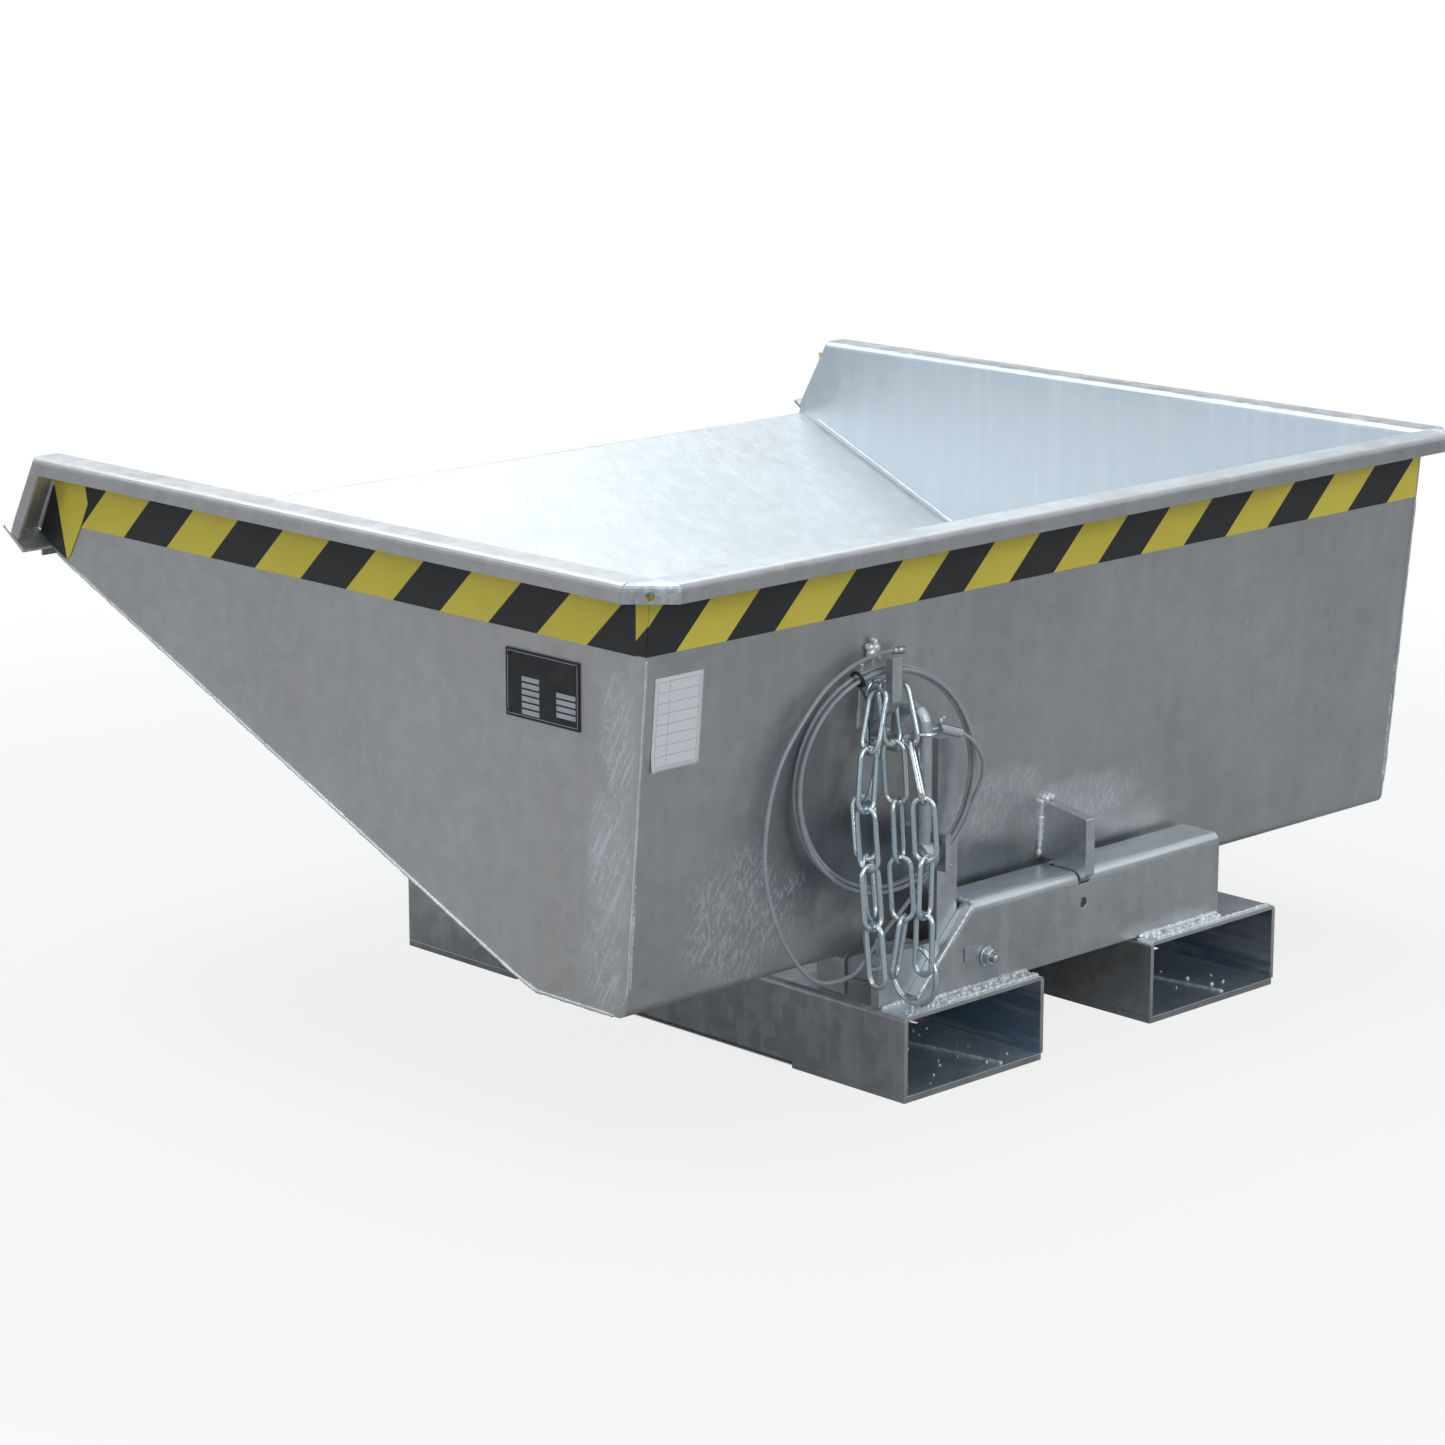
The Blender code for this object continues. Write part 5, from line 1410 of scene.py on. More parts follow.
class Labels:
    """The black plate's blank fields, and a white sticker with blank ruled lines."""

    # How far the paper lies off the wall, and the ink off the paper.
    PAPER_LIFT = 0.0004
    INK_LIFT = 0.00015

    def __init__(self, sizes: LabelSizes, paints: Paints) -> None:
        """Args:
            sizes: The labels' sizes.
            paints: The materials' builder.
        """
        self.sizes = sizes
        self.paper = paints.plastic("sticker_paper", (0.97, 0.985, 1.0), roughness=0.5, dirt=0.15)
        self.silver = paints.plastic("plate_fields", (0.58, 0.59, 0.62), roughness=0.5)
        self.ink = paints.plastic("sticker_ink", (0.42, 0.43, 0.46), roughness=0.6)

    def fields(self) -> None:
        """Ten blank fields and a thin frame on the type plate."""
        s = self.sizes
        shapes = []
        for near, far, first, count in s.columns:
            for top in first - s.field_step * np.arange(count):
                shapes.append(self.card(s.plate_face, near, far, float(top) - s.field_height, float(top)))
        near, far, low, high = s.frame
        upright, level = s.frame_line
        for box in ((near, near + upright, low, high), (far - upright, far, low, high),
                    (near, far, low, low + level), (near, far, high - level, high)):
            shapes.append(self.card(s.plate_face, *box))
        piece = add_mesh("plate_fields", *joined(shapes), self.silver, Body.TUB, closed=False, smooth=False)

    @staticmethod
    def card(x: float, y_low: float, y_high: float, z_low: float, z_high: float) -> tuple[Points, Faces]:
        """A flat rectangle that faces left.

        Args:
            x: Its place.
            y_low: Its rear end.
            y_high: Its front end.
            z_low: Its lower edge.
            z_high: Its upper edge.

        Returns:
            Its points and face.
        """
        points = np.array([[x, y_low, z_low], [x, y_low, z_high], [x, y_high, z_high], [x, y_high, z_low]])
        return points, np.array([[0, 1, 2, 3]])

    def sticker(self) -> None:
        """A white card on the rear wall, its lower left corner a little lifted."""
        left, right, low, high = self.sizes.paper
        x, z = np.meshgrid(np.linspace(left, right, 15), np.linspace(low, high, 22), indexing="ij")
        points = np.stack([x, self.paper_y(x, z), z], axis=-1).reshape(-1, 3)
        add_film("sticker", points, grid_faces(*x.shape), self.paper, self.sizes.paper_thick, smooth=True)

    def rules(self) -> None:
        """Thin blank lines and a frame on the sticker, as on an empty form."""
        left, right, low, high = self.sizes.rules
        thin = np.array([-self.sizes.rule_half, self.sizes.rule_half])
        bars = [(np.linspace(left, right, 16), z + thin) for z in np.linspace(low, high, 9)]
        bars += [(x + thin, np.linspace(low, high, 24)) for x in (left, self.sizes.margin, right)]
        shapes = []
        for across, up in bars:
            x, z = np.meshgrid(across, up, indexing="ij")
            y = self.paper_y(x, z) - self.INK_LIFT
            shapes.append((np.stack([x, y, z], axis=-1).reshape(-1, 3), grid_faces(len(across), len(up))))
        add_mesh("sticker_rules", *joined(shapes), self.ink, Body.TUB, closed=False, smooth=False)

    def paper_y(self, x: Points, z: Points) -> Points:
        """Where the sticker's paper lies on the rear wall: flat, but for a curl that grows to its corner.

        Args:
            x: Places across.
            z: Heights.

        Returns:
            The Y of each.
        """
        s = self.sizes
        off = np.hypot((x - s.paper[0]) / s.curl_reach, (z - s.paper[2]) / s.curl_reach)
        return rear_wall_y(z) - (self.PAPER_LIFT + s.curl * np.clip(1 - off, 0, 1) ** 2)

    def build(self) -> None:
        """Makes the plate's fields and the sticker."""
        self.fields()
        self.sticker()
        self.rules()
        log.info("labels: blank plate fields and a sticker with blank lines")


# The safety chain


@dataclass(frozen=True)
class Strand:
    """One hanging strand of chain.

    Attributes:
        name: The piece's name.
        turns: The angle of each link's wide direction, in degrees, from the photograph's rightward direction.
        route: Where the first link bears at its top, and the places that the links then head for in turn.
        solid: The plain solid that it replaces, if there is one.
    """

    name: str
    turns: tuple[float, ...]
    route: tuple[Triple, ...]
    solid: Optional[str] = None


@dataclass(frozen=True)
class ChainSizes:
    """The chain's sizes, as in the part's source, and its strands as the photograph shows them.

    Two links' solids bear on each other with the gap called bear. The nut's profile holds places along it and
    its radius there, as shares. A burr is how much thicker the wire is at its butt weld, as a share of it.
    """

    wire: float = 0.005
    pitch: float = 0.051
    inner_width: float = 0.0145
    bear: float = 0.0008
    strands: tuple[Strand, ...] = (
        Strand("strand_left", (44, 125, 190, 245), (
            (-0.257, 0.0425, 0.3767), (-0.2585, 0.043, 0.325), (-0.2745, 0.0405, 0.275),
            (-0.282, 0.027, 0.2245), (-0.28685, 0.0155, 0.1685)), "chain_strand_left"),
        Strand("strand_middle", (44, -22, 65, -15, 70), (
            (-0.257, 0.031, 0.3767), (-0.257, 0.0205, 0.3265), (-0.256, 0.0165, 0.275),
            (-0.257, 0.0115, 0.224), (-0.26, 0.0035, 0.173), (-0.268, 0.006, 0.12)),
            "chain_strand_middle"),
        Strand("strand_front", (138, 85, -15, 55, -46), (
            (-0.2417, 0.029, 0.374), (-0.2438, 0.012, 0.3255), (-0.2505, -0.0095, 0.279),
            (-0.251, -0.015, 0.227), (-0.2512, -0.014, 0.175), (-0.2515, -0.013, 0.1)),
            "chain_strand_front"),
        Strand("strand_outer", (134, 44, -38, 40, -48), (
            (-0.2719, 0.024, 0.374), (-0.289, 0.0185, 0.326), (-0.299, 0.013, 0.275),
            (-0.2995, 0.007, 0.223), (-0.3015, -0.0005, 0.172), (-0.301, -0.006, 0.12))),
    )
    ring_place: Triple = (-0.246, 0.002, 0.1165)
    ring_diameter: float = 0.058
    quick_length: float = 0.046
    quick_width: float = 0.023
    nut: float = 0.01
    nut_length: float = 0.016
    nut_profile: Profile = ((0.0, 0.84), (0.06, 1.0), (0.94, 1.0), (1.0, 0.84))
    thread_length: float = 0.007
    link_burr: float = 0.13
    ring_burr: float = 0.12
    weld_reach: float = 0.0016


class SafetyChain:
    """Bright zinc chain in hanging strands, with a ring and a quick link."""

    ARC_POINTS = 14
    SIDE_POINTS = 12
    SIDES = 16
    # Level directions as the photograph shows them: to its right, and away from the camera.
    RIGHTWARD = np.array([0.719, -0.695, 0.0])
    AWAY = np.array([0.695, 0.719, 0.0])

    def __init__(self, sizes: ChainSizes, paints: Paints) -> None:
        """Args:
            sizes: The chain's sizes.
            paints: The materials' builder.
        """
        self.sizes = sizes
        self.finish = paints.bright("chain_zinc", (0.77, 0.82, 0.85), roughness=0.13)

    def joints(self, strand: Strand) -> Points:
        """Where a strand's links bear on each other, each one step towards the route's next place.

        Args:
            strand: The strand.

        Returns:
            One point more than there are links.
        """
        step = self.sizes.pitch + self.sizes.bear
        at = [np.array(strand.route[0])]
        for place in strand.route[1:]:
            at.append(at[-1] + normalised(np.array(place) - at[-1]) * step)
        return np.array(at)

    def loop(self, middle: Points, along: Points, across: Points, radius: float, straight: float,
             burr: float) -> tuple[Points, Faces]:
        """One link: wire swept round two half circles and the straights between them.

        Args:
            middle: The link's middle.
            along: Its long direction.
            across: Its wide direction.
            radius: The half circles' radius at the wire's middle.
            straight: Half of the straight's length.
            burr: How much thicker the wire is at its butt weld, halfway along one side.

        Returns:
            Its points and faces.
        """
        turn = np.linspace(0, math.pi, self.ARC_POINTS)
        run = np.linspace(straight, -straight, self.SIDE_POINTS)[1:-1]
        top = np.stack([np.cos(turn) * radius, straight + np.sin(turn) * radius], axis=1)
        down = np.stack([np.full_like(run, -radius), run], axis=1)
        flat = np.vstack([top, down, -top, -down])
        path = middle + flat[:, :1] * across + flat[:, 1:] * along
        near_weld = np.exp(-((flat[:, 1] / self.sizes.weld_reach) ** 2)) * (flat[:, 0] < 0)
        radii = self.sizes.wire / 2 * (1 + burr * near_weld)
        return sweep(path, radii, np.cross(along, across), self.SIDES, closed=True)

    def strand(self, strand: Strand) -> None:
        """One strand.

        Args:
            strand: Its route and the turn of its links.
        """
        s = self.sizes
        at = self.joints(strand)
        radius = (s.inner_width + s.wire) / 2
        straight = s.pitch / 2 + s.wire / 2 - radius
        shapes = []
        for start, end, turn in zip(at[:-1], at[1:], np.radians(strand.turns)):
            along = normalised(end - start)
            across = math.cos(turn) * self.RIGHTWARD + math.sin(turn) * self.AWAY
            across = normalised(across - along * (across @ along))
            shapes.append(self.loop((start + end) / 2, along, across, radius, straight, s.link_burr))
        piece = add_mesh(strand.name, *joined_solids(shapes), self.finish, Body.TUB)
        if strand.solid is not None:
            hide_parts(strand.solid)
        log.info("%s: %d links", piece.name, len(strand.turns))

    def ring(self) -> None:
        """The round ring in the lowest links."""
        s = self.sizes
        angle = np.linspace(0, TAU, 64, endpoint=False)
        radius = (s.ring_diameter - s.wire) / 2
        upright = np.stack([np.zeros_like(angle), np.cos(angle) * radius, np.sin(angle) * radius], axis=1)
        near_weld = np.exp(-(((angle - 1.0) * radius / s.weld_reach) ** 2))
        tube = sweep(np.array(s.ring_place) + upright, s.wire / 2 * (1 + s.ring_burr * near_weld), (1, 0, 0),
                     self.SIDES, closed=True)
        piece = add_mesh("ring_round", *tube, self.finish, Body.TUB)
        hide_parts("chain_ring")

    def quick_link(self) -> None:
        """The quick link with its hexagonal nut and a stretch of thread."""
        s = self.sizes
        at = self.joints(s.strands[0])
        along = normalised(at[-1] - at[-2])
        radius = (s.quick_width - s.wire) / 2
        flat = 1 - math.cos(math.pi / 10)
        end_flats = flat * ((s.inner_width + s.wire) / 2 + radius)
        top = at[-1] + along * (s.wire - s.bear / 2 + 0.0003 - end_flats)
        middle = top + along * s.quick_length / 2
        across = np.array([0.0, 1.0, 0.0])
        across = normalised(across - along * (across @ along))
        straight = s.quick_length / 2 - s.wire / 2 - radius
        loop = self.loop(middle, along, across, radius, straight, 0.0)
        full = s.nut_length
        start = middle - across * radius - along * full / 2
        nut = lathe(start, along, [(full * far, s.nut / 2 * wide) for far, wide in s.nut_profile], sides=6)
        thread_at = np.linspace(0, s.thread_length, 29)
        thread = [(t, s.wire / 2 * (1.0 if i % 2 else 1.1)) for i, t in enumerate(thread_at)]
        screw = lathe(start + along * full, along, thread, 20)
        nut_piece = add_mesh("quick_link_nut", *nut, self.finish, Body.TUB, smooth=False)
        piece = add_mesh("quick_link_round", *joined_solids((loop, screw)), self.finish, Body.TUB)
        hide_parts("quick_link")

    def build(self) -> None:
        """Makes the chain."""
        for strand in self.sizes.strands:
            self.strand(strand)
        self.ring()
        self.quick_link()


# Welds, blobs and small hardware


@dataclass(frozen=True)
class Bead:
    """One weld bead along a line.

    Attributes:
        name: The piece's name.
        line: Its route as drawn.
        body: The body that it rides on.
        radius: Its half width.
        ripple: How much its width changes along it.
        pitch: The length of one ripple.
    """

    name: str
    line: tuple[Triple, ...]
    body: Body
    radius: float = 0.0035
    ripple: float = 0.22
    pitch: float = 0.006


class Welds:
    """Lumpy weld beads dipped in zinc, and drops of zinc beside them."""

    SEED = 7
    STEP = 0.0016
    # Two directions of which at least one is never along a bead.
    ACROSS = np.array([0.31, 0.52, 0.79])
    OTHERWISE = np.array([0.9, -0.4, 0.1])
    # How fast a bead's ripples, lumps, finer lumps and drift change along it, in radians a metre.
    RATES = (61, 173, 389, 97)
    BALL_RINGS = 9
    BALL_SIDES = 12

    def __init__(self, paints: Paints) -> None:
        """Args:
            paints: The materials' builder.
        """
        self.finish = paints.galvanised(Finish("weld_zinc", (0.84, 0.87, 0.9), contrast=0.16, roughness=0.3,
                                               metallic=0.55, bump=0.00009, soften=0.0, worn=0.0))
        self.random = np.random.default_rng(self.SEED)

    def bead(self, bead: Bead) -> None:
        """A tube whose radius ripples as a welder's puddles do, and wanders a little.

        Args:
            bead: Its route and sizes.
        """
        line = np.asarray(bead.line, np.float64)
        lengths = np.linalg.norm(np.diff(line, axis=0), axis=1)
        counts = np.maximum(np.round(lengths / self.STEP), 2).astype(int)
        parts = [np.linspace(a, b, n, endpoint=False) for a, b, n in zip(line[:-1], line[1:], counts)]
        path = np.vstack([*parts, line[-1:]])
        along = np.concatenate([[0], np.cumsum(np.linalg.norm(np.diff(path, axis=0), axis=1))])
        phase = self.random.uniform(0, TAU, 4)
        shift, lump, finer, drift = (np.sin(along * rate + at) for rate, at in zip(self.RATES, phase))
        ripples = np.abs(np.sin(along * math.pi / bead.pitch + 0.9 * shift))
        lumps = 0.5 * lump + 0.5 * finer
        radii = bead.radius * (1 - bead.ripple + bead.ripple * ripples + 0.5 * bead.ripple * lumps)
        ends = np.clip(np.minimum(along, along[-1] - along) / (bead.radius * 1.4), 0.05, 1)
        radii = radii * np.sqrt(ends)
        direction = normalised(line[-1] - line[0])
        reference = self.ACROSS if abs(direction @ self.ACROSS) < 0.8 else self.OTHERWISE
        path = path + 0.12 * bead.radius * drift[:, None] * normalised(np.cross(direction, reference))
        piece = add_mesh(bead.name, *sweep(path, radii, reference, sides=10), self.finish, bead.body)

    def drops(self, name: str, body: Body, centres: Sequence[Sequence[float]],
              sizes: Sequence[float]) -> None:
        """Rounded lumps, each an uneven ball.

        Args:
            name: The piece's name.
            body: The body that they ride on.
            centres: Their middles as drawn.
            sizes: Their radii.
        """
        shapes = []
        turn = np.linspace(0, math.pi, self.BALL_RINGS)[:, None]
        round_ = np.linspace(0, TAU, self.BALL_SIDES, endpoint=False)[None, :]
        faces = grid_faces(self.BALL_RINGS, self.BALL_SIDES, wrap_columns=True)
        for centre, size in zip(centres, sizes):
            phase = self.random.uniform(0, TAU, 3)
            waist = 0.16 * np.sin(2 * round_ + phase[0]) * np.sin(turn)
            uneven = 1 + waist + 0.12 * np.cos(2 * turn + phase[1])
            ball = np.stack([np.sin(turn) * np.cos(round_) * uneven, np.sin(turn) * np.sin(round_) * uneven,
                             np.cos(turn) * uneven], axis=-1)
            shapes.append((np.asarray(centre) + size * ball.reshape(-1, 3), faces))
        piece = add_mesh(name, *joined_solids(shapes), self.finish, body)

    def spray(self, name: str, body: Body, low: Sequence[float], high: Sequence[float], count: int,
              size: float) -> None:
        """Many small drops at chance places in a box.

        Args:
            name: The piece's name.
            body: The body that they ride on.
            low: The box's lowest corner.
            high: Its highest corner.
            count: How many there are.
            size: The largest radius.
        """
        centres = self.random.uniform(low, high, (count, 3))
        self.drops(name, body, centres, size * self.random.uniform(0.35, 1.0, count))

    @staticmethod
    def side_beads(side: str, sign: int) -> list[Bead]:
        """The beads on one side wall, inside, along the rear corner and under the floor and slope.

        Args:
            side: The side's name.
            sign: 1 for the right side and -1 for the left.

        Returns:
            The three beads.
        """
        inner, outer = sign * (WALL_X - SHEET), sign * WALL_X
        inside = ((0.05, 0.47), (0.074, 0.148), (0.095, 0.124), (0.188, 0.124), (0.216, 0.132),
                  (0.885, 0.418))
        corner = ((0.048, 0.437), (0.074, 0.144), (0.08, 0.129))
        under = ((0.09, 0.12), (0.19, 0.12), (0.22, 0.13), (0.885, 0.408))
        return [
            Bead(f"weld_inside_{side}", tuple((inner, y, z) for y, z in inside), Body.TUB, 0.0017, 0.45),
            Bead(f"weld_corner_{side}", tuple((outer, y, z) for y, z in corner), Body.TUB, 0.001, 0.5, 0.004),
            Bead(f"weld_floor_{side}", tuple((outer, y, z) for y, z in under), Body.TUB, 0.0019, 0.3, 0.005),
        ]

    @staticmethod
    def other_beads() -> list[Bead]:
        """The beads on the beam, pockets, hook plate, fin, lug and post, and two runs of zinc on the straps.

        Returns:
            The beads.
        """
        base, tub = Body.BASE, Body.TUB
        return [
            Bead("weld_beam_left", ((-0.22, 0.018, 0.0808), (-0.19, 0.0185, 0.0812),
                                    (-0.078, 0.0185, 0.0812)), base, 0.003, 0.32),
            Bead("weld_beam_right", ((0.078, 0.0185, 0.0812), (0.195, 0.0185, 0.0812)), base, 0.003, 0.32),
            Bead("weld_pocket_edge_left", ((-0.205, 0.003, 0.081), (-0.08, 0.003, 0.081)), base, 0.0026,
                 0.42, 0.008),
            Bead("weld_pocket_edge_right", ((0.085, 0.003, 0.081), (0.254, 0.003, 0.081)), base, 0.0022,
                 0.42, 0.008),
            Bead("weld_beam_chamfer", ((-0.151, 0.02, 0.159), (-0.186, 0.02, 0.124),
                                       (-0.221, 0.02, 0.089)), base, 0.0022, 0.3),
            Bead("weld_beam_mitre", ((-0.15, 0.019, 0.159), (-0.15, 0.062, 0.159)), base, 0.003, 0.35),
            Bead("weld_hook_left", ((-0.2635, 0.053, 0.395), (-0.2635, 0.0575, 0.333)), tub, 0.0024, 0.3),
            Bead("weld_hook_right", ((-0.2505, 0.053, 0.395), (-0.2505, 0.0575, 0.333)), tub, 0.0024, 0.3),
            Bead("weld_fin_left", ((-0.0068, 0.0665, 0.2205), (-0.0068, 0.071, 0.164)), tub, 0.003,
                 0.4, 0.007),
            Bead("weld_fin_right", ((0.0068, 0.0665, 0.2205), (0.0068, 0.071, 0.164)), tub, 0.0026,
                 0.4, 0.007),
            Bead("zinc_run_strap_left", ((-0.125, 0.005, 0.0068), (-0.148, 0.137, 0.0068)), base, 0.0015,
                 0.4, 0.009),
            Bead("zinc_run_strap_right", ((0.19, 0.005, 0.0068), (0.169, 0.137, 0.0068)), base, 0.0015,
                 0.4, 0.009),
            Bead("weld_post_foot", ((-0.256, 0.032, 0.0808), (-0.16, 0.032, 0.0808)), base, 0.0032, 0.4),
            Bead("weld_lug", ((-0.237, 0.057, 0.326), (-0.223, 0.057, 0.326)), tub, 0.0022, 0.3),
        ]

    def build(self) -> None:
        """Makes all beads and drops."""
        beads = self.side_beads("left", -1) + self.side_beads("right", 1) + self.other_beads()
        for bead in beads:
            self.bead(bead)
        self.drops("zinc_blob_hook", Body.TUB,
                   [(-0.257, 0.0475, 0.401), (-0.253, 0.046, 0.406), (-0.261, 0.0465, 0.4085),
                    (-0.2545, 0.0455, 0.412), (-0.2585, 0.045, 0.415), (-0.249, 0.048, 0.398)],
                   [0.0058, 0.0045, 0.0036, 0.003, 0.0022, 0.0035])
        self.drops("zinc_blob_ferrule", Body.LATCH, [(-0.2065, 0.011, 0.3395), (-0.204, 0.01, 0.342)],
                   [0.0024, 0.0016])
        self.drops("zinc_blob_fin", Body.TUB,
                   [(-0.004, 0.065, 0.222), (0.003, 0.065, 0.2225), (-0.009, 0.066, 0.218)],
                   [0.0042, 0.0034, 0.003])
        sprays = (("zinc_drops_pocket", (-0.255, 0.001, 0.08), (-0.19, 0.016, 0.0812), 34, 0.0026),
                  ("zinc_lumps_left", (-0.205, 0.0035, 0.0795), (-0.08, 0.017, 0.0815), 60, 0.0042),
                  ("zinc_lumps_right", (0.085, 0.0035, 0.0795), (0.19, 0.017, 0.0815), 46, 0.004),
                  ("zinc_drops_strap", (0.1, 0.02, 0.0064), (0.23, 0.1, 0.0068), 12, 0.002),
                  ("zinc_drops_floor", (-0.24, 0.01, 0.0062), (-0.1, 0.134, 0.0065), 22, 0.0014))
        for name, low, high, count, size in sprays:
            self.spray(name, Body.BASE, low, high, count, size)
        log.info("welds: %d beads, three groups of lumps and %d sprays of drops", len(beads), len(sprays))


@dataclass(frozen=True)
class HardwareSizes:
    """The sizes of the zip tie, the keeper's nut, washer and stud, and the split pin.

    A profile holds places along a piece and its radius there, and a half is a radius. The tie's tail starts
    at its band's inner side. The keeper's place is its washer's middle at the beam's face, and the pin's is
    the middle of the latch pin's end. A thread step is half of the pitch.
    """

    tie_angle: float = math.radians(110)
    tie_half: float = 0.0016
    tie_clearance: float = 0.001
    tie_tail: tuple[Triple, ...] = ((0.0, 0.0, 0.0), (0.003, -0.006, -0.012), (0.004, -0.008, -0.03),
                                    (0.0045, -0.0085, -0.052))
    tail_ends: tuple[float, float] = (0.0011, 0.0005)
    head_profile: Profile = (
        (0.0, 0.002), (0.0005, 0.0026), (0.0035, 0.0026), (0.004, 0.002))
    keeper: Triple = (-0.132, 0.0197, 0.106)
    washer_profile: Profile = ((0.0, 0.0095), (0.0012, 0.0098), (0.0016, 0.0094))
    nut_profile: Profile = (
        (0.0, 0.0078), (0.0006, 0.0083), (0.0056, 0.0083), (0.0066, 0.0074))
    thread_step: float = 0.0004
    thread_turns: int = 27
    crest: float = 0.004
    root: float = 0.0036
    stud_end: tuple[float, float] = (0.0109, 0.003)
    pin: Triple = (-0.205, 0.0076, 0.221)
    pin_route: tuple[Triple, ...] = ((0.0, -0.001, 0.01), (0.0, 0.0, 0.004), (0.0, 0.0, -0.006),
                                     (0.003, -0.002, -0.012), (0.008, -0.004, -0.014))
    pin_half: float = 0.0011


class Hardware:
    """The zip tie on the coil, the keeper's nut and washer, and the latch pin's split pin."""

    REARWARD: Triple = (0.0, -1.0, 0.0)

    def __init__(self, sizes: HardwareSizes, paints: Paints, cable: ReleaseCable) -> None:
        """Args:
            sizes: The hardware's sizes.
            paints: The materials' builder.
            cable: The cable that the zip tie holds.
        """
        self.sizes = sizes
        self.cable = cable
        self.nylon = paints.plastic("black_nylon", (0.018, 0.018, 0.02), roughness=0.38)
        self.bright = paints.bright("bolt_zinc", (0.66, 0.69, 0.72), roughness=0.24)

    def zip_tie(self) -> None:
        """A black band round the coil's turns at the upper left, its tail hanging down."""
        s = self.sizes
        middle = self.cable.bundle_middle(s.tie_angle)
        out = np.array([math.cos(s.tie_angle), 0.0, math.sin(s.tie_angle)])
        deep = np.array([0.0, 1.0, 0.0])
        turn = np.linspace(0, TAU, 40, endpoint=False)
        radius = self.cable.sizes.bundle + self.cable.sizes.diameter / 2 + s.tie_clearance
        path = middle + radius * (np.cos(turn)[:, None] * out + np.sin(turn)[:, None] * deep)
        band = sweep(path, s.tie_half, np.cross(out, deep), sides=10, closed=True)
        low = middle - out * radius
        tail_line = resampled(low + np.array(s.tie_tail), 0.002)
        tail = sweep(tail_line, np.linspace(*s.tail_ends, len(tail_line)), (0, 1, 0.1), sides=8)
        head = lathe(low + [-0.002, -0.004, 0.001], (1, -0.2, 0.2), s.head_profile, sides=4, turn=math.pi / 4)
        add_mesh("zip_tie", *joined_solids((band, tail, head)), self.nylon, Body.TUB)

    def keeper(self) -> None:
        """A chamfered nut, a washer and a threaded stud, which replace the plain keeper bolt."""
        s = self.sizes
        x, y, z = s.keeper
        washer = lathe((x, y, z), self.REARWARD, s.washer_profile, sides=40)
        nut = lathe((x, y - 0.0016, z), self.REARWARD, s.nut_profile, sides=6, turn=math.pi / 6)
        thread = [(s.thread_step * k, s.crest if k % 2 else s.root) for k in range(s.thread_turns)]
        stud = lathe((x, y - 0.002, z), self.REARWARD, [*thread, s.stud_end], sides=28)
        face = add_mesh("keeper_nut_faces", *nut, self.bright, Body.BASE, smooth=False)
        piece = add_mesh("keeper_stud_washer", *joined_solids((washer, stud)), self.bright, Body.BASE)
        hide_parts("keeper_bolt")

    def split_pin(self) -> None:
        """Bent wire through the latch pin's end."""
        s = self.sizes
        path = resampled(np.array(s.pin) + np.array(s.pin_route), 0.001)
        wire = sweep(path, s.pin_half, (1, 0.2, 0.1), sides=8)
        piece = add_mesh("split_pin", *wire, self.bright, Body.BASE)

    def build(self) -> None:
        """Makes all small hardware."""
        self.zip_tie()
        self.keeper()
        self.split_pin()
        log.info("hardware: zip tie, keeper nut and stud, split pin")


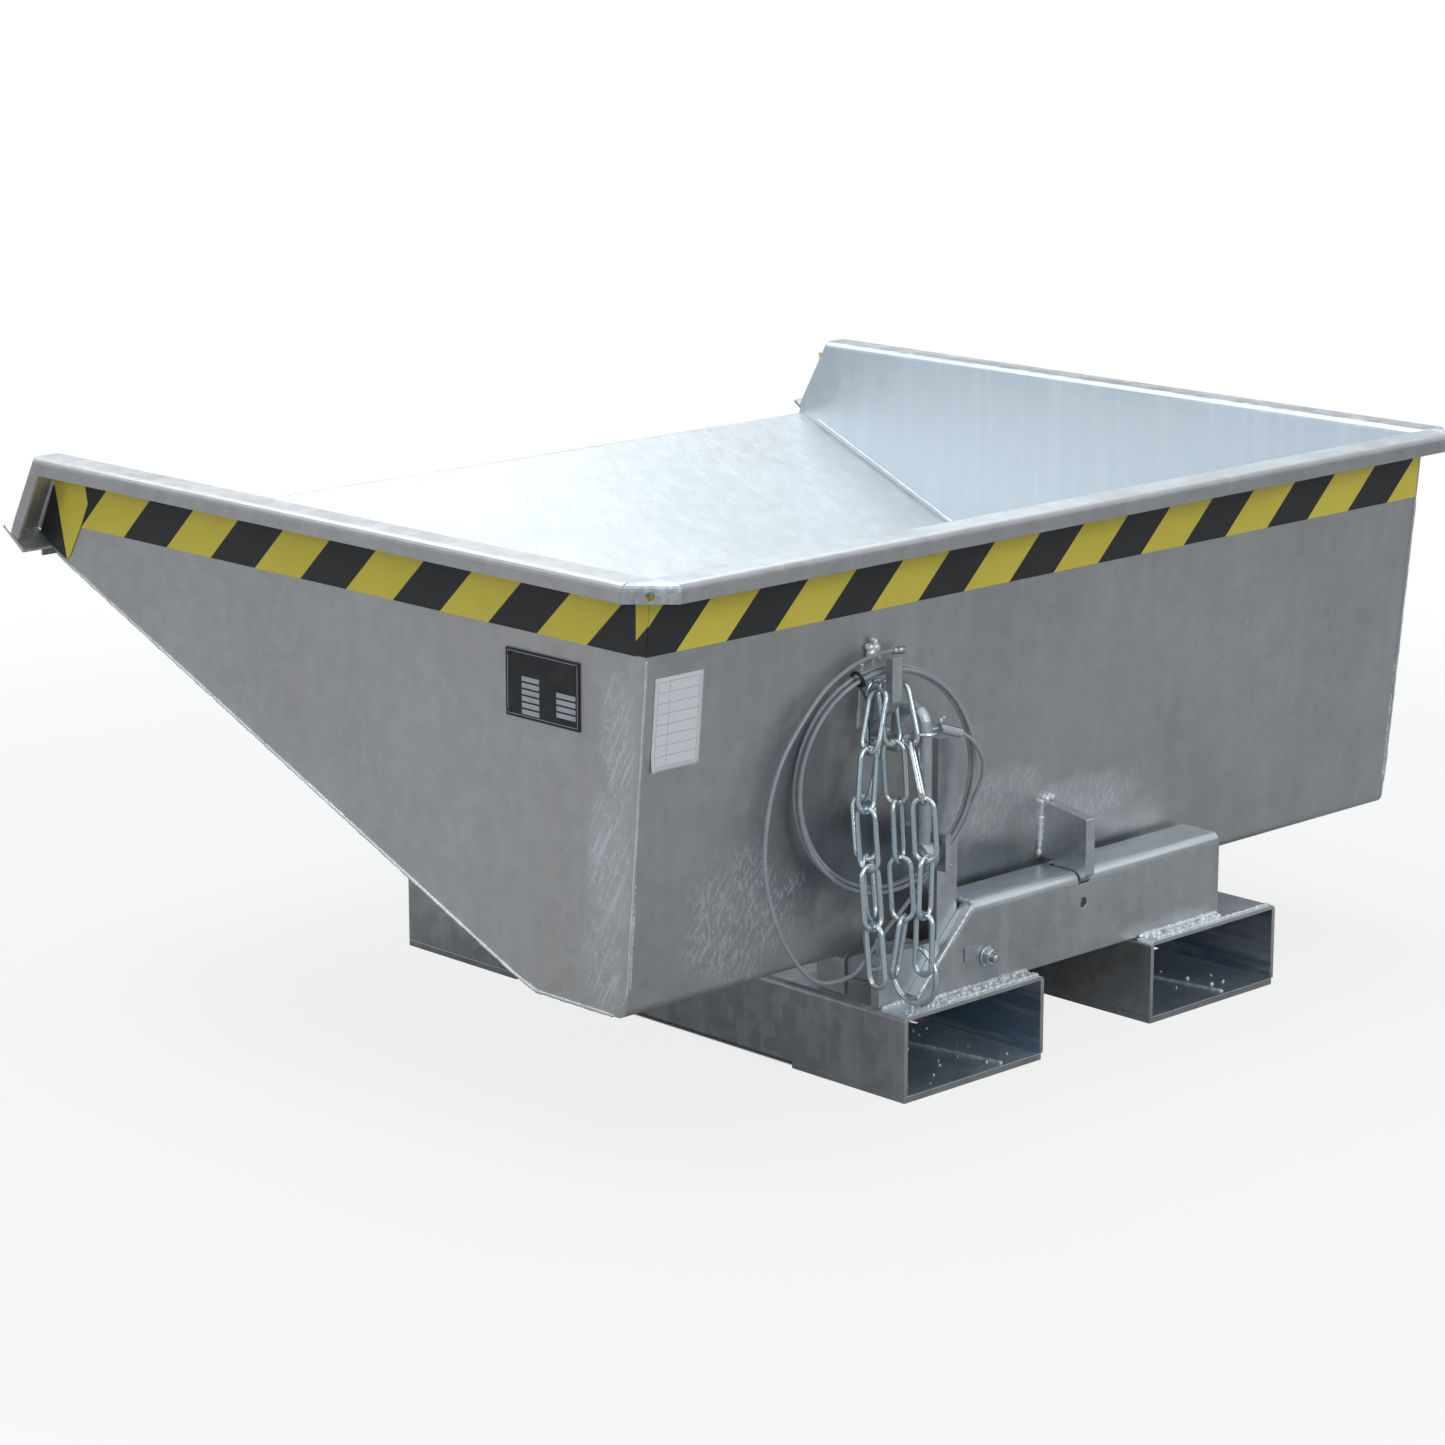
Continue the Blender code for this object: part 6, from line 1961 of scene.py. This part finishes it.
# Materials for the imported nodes


class Dresser:
    """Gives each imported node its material."""

    OUTSIDE: Colour = (0.532, 0.52, 0.516)
    # The left wall's zinc, painted lighter than the other walls' for the light on that side.
    LEFT_WALL_LIGHTER: Colour = (0.62, 0.602, 0.594)
    # Faces that look this way, the tops, are painted lighter as if lit by the sky.
    UPWARD: Triple = (0.0, 0.0, 1.0)
    # The height of the middle of the pockets' hollows.
    HOLLOW_Z = 0.0415
    # The finish of each node whose name starts so, the first that fits. All others have the base's.
    KINDS = (("fork_pocket_left", "pocket_left"), ("fork_pocket_right", "pocket_right"),
             ("tub_shell", "tub"), ("side_wall_left", "left"), ("side_wall_right", "right"), ("rim_", "rim"),
             ("type_plate", "plate"), ("pivot_pin", "bright"), ("latch_", "fitting"), ("hook", "fitting"),
             ("catch", "fitting"), ("centring", "fitting"), ("cable_ferrule", "bright"), ("keeper", "bright"),
             ("lock", "fitting"), ("chain", "bright"), ("quick", "bright"))

    def __init__(self, frame: dict[str, object], paints: Paints) -> None:
        """Args:
            frame: The loaded frame.
            paints: The materials' builder.
        """
        self.nodes: dict[str, bpy.types.Object] = frame["nodes"]
        self.paints = paints

    def finishes(self) -> dict[str, Material]:
        """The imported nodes' materials.

        Returns:
            A material for each kind of node.
        """
        # Darker patches on the rear wall: about the coil's left turns, painted shade and dark reflection behind
        # the chain, and a band low down above the beam.
        stain_and_shade = (Patch((-0.335, 0.06, 0.27), (0.085, 0.2, 0.125), 0.45, strength=0.6),
                 Patch((-0.262, 0.066, 0.215), (0.08, 0.2, 0.075), 0.5, strength=0.75),
                 Patch((-0.12, 0.07, 0.165), (0.15, 0.2, 0.045), 0.45, strength=0.8),
                 Patch((0.05, 0.07, 0.16), (0.11, 0.2, 0.022), 0.45, strength=0.6))
        scuffs = (Patch((-0.394, 0.071, 0.185), (0.09, 0.2, 0.08), 0.6, 0.1, 0.65),
                  Patch((0.04, 0.07, 0.212), (0.12, 0.2, 0.034), 0.5, 0.45, 0.75),
                  Patch((-0.07, 0.07, 0.232), (0.085, 0.2, 0.042), 0.5, 0.42, 0.6),
                  Patch((0.3, 0.06, 0.3), (0.18, 0.2, 0.12), 0.7, 0.0, 0.13))
        # Painted shade along the right wall's top bend, which dims a lamp's highlight there.
        bend_shade = (Patch((0.5235, 0.45, 0.5), (0.03, 0.8, 0.015), 0.1, strength=0.55),)
        # A painted highlight along the beam's top rear bend.
        crest = (Patch((-0.01, 0.026, 0.158), (0.3, 0.012, 0.012), 0.15, 1.0, 0.9),)
        brushed = (Patch((-0.525, 0.084, 0.36), (0.08, 0.03, 0.08), 0.35, 0.22, 0.8),
                   Patch((-0.525, 0.094, 0.255), (0.08, 0.035, 0.085), 0.4, 0.28, 0.85),
                   Patch((-0.525, 0.104, 0.17), (0.08, 0.036, 0.055), 0.45, 0.15, 0.7))
        zinc = (
            ("tub", Finish("tub_zinc", self.OUTSIDE, dark=stain_and_shade, light=scuffs, runs=0.1,
                           inside=(0.0, 1.0, 1.3), clean=0.32, worn=0.15)),
            ("left", Finish("left_wall_zinc", self.LEFT_WALL_LIGHTER, light=brushed, worn=0.12,
                            inside=(1.0, 0.0, 0.0))),
            ("right", Finish("right_wall_zinc", self.OUTSIDE, inside=(-1.0, 0.0, 0.0), clean=1.0, runs=0.35,
                             dark=bend_shade)),
            ("rim", Finish("rim_zinc", (0.56, 0.58, 0.61), contrast=0.28, roughness=0.5, bump=0.0001,
                           spangle=0.006, runs=0.2)),
            ("base", Finish("base_zinc", (0.55, 0.553, 0.556), contrast=0.11, roughness=0.34, metallic=0.9,
                            bump=0.00009, soften=0.001, inside=self.UPWARD, clean=0.9, runs=0.15, worn=0.5,
                            light=crest)),
            ("pocket_left", self.pocket("left_pocket_zinc", -0.1675)),
            ("pocket_right", self.pocket("right_pocket_zinc", 0.1675)),
            ("fitting", Finish("fitting_zinc", (0.58, 0.6, 0.62), contrast=0.14, roughness=0.34, metallic=0.9,
                               spangle=0.007, soften=0.0009, worn=0.5)),
        )
        table = {kind: self.paints.galvanised(finish) for kind, finish in zinc}
        table["bright"] = self.paints.bright("pin_zinc", (0.74, 0.77, 0.8), roughness=0.22)
        table["plate"] = self.paints.plastic("black_plate", (0.014, 0.014, 0.016), roughness=0.5)
        return table

    @staticmethod
    def pocket(name: str, middle_x: float) -> Finish:
        """A fork pocket's finish: dull outside, glossy inside, where it is painted a lighter blue with painted
        highlight streaks.

        Args:
            name: The material's name.
            middle_x: The X of the pocket's middle.

        Returns:
            The finish.
        """
        return Finish(name, (0.58, 0.583, 0.588), contrast=0.16, roughness=0.34, metallic=0.9, bump=0.00009,
                      soften=0.001, inside=Dresser.UPWARD, clean=0.7, runs=0.2, worn=0.7,
                      hollow=(middle_x, Dresser.HOLLOW_Z))

    @staticmethod
    def kind_of(name: str) -> str:
        """Which finish a node has.

        Args:
            name: The node's name.

        Returns:
            A key of the finishes.
        """
        return next((kind for start, kind in Dresser.KINDS if name.startswith(start)), "base")

    def build(self) -> None:
        """Paints all nodes."""
        finishes = self.finishes()
        for name, node in self.nodes.items():
            node.data.materials.clear()
            node.data.materials.append(finishes[self.kind_of(name)])
            node.data.polygons.foreach_set("material_index", np.zeros(len(node.data.polygons), np.int32))
        log.info("dressed %d packed nodes", len(self.nodes))


def main() -> None:
    """Builds the scene's pieces in order."""
    logging.basicConfig(level=logging.INFO, format="%(message)s")
    for old in list(bpy.data.objects):
        bpy.data.objects.remove(old, do_unlink=True)
    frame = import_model()
    paints = Paints()
    Studio().build()
    cable = ReleaseCable(CableSizes(), paints)
    cable.build()
    Dresser(frame, paints).build()
    SafetyChain(ChainSizes(), paints).build()
    HazardTape(paints).build()
    Labels(LabelSizes(), paints).build()
    Welds(paints).build()
    Hardware(HardwareSizes(), paints, cable).build()


if __name__ == "__main__":
    main()
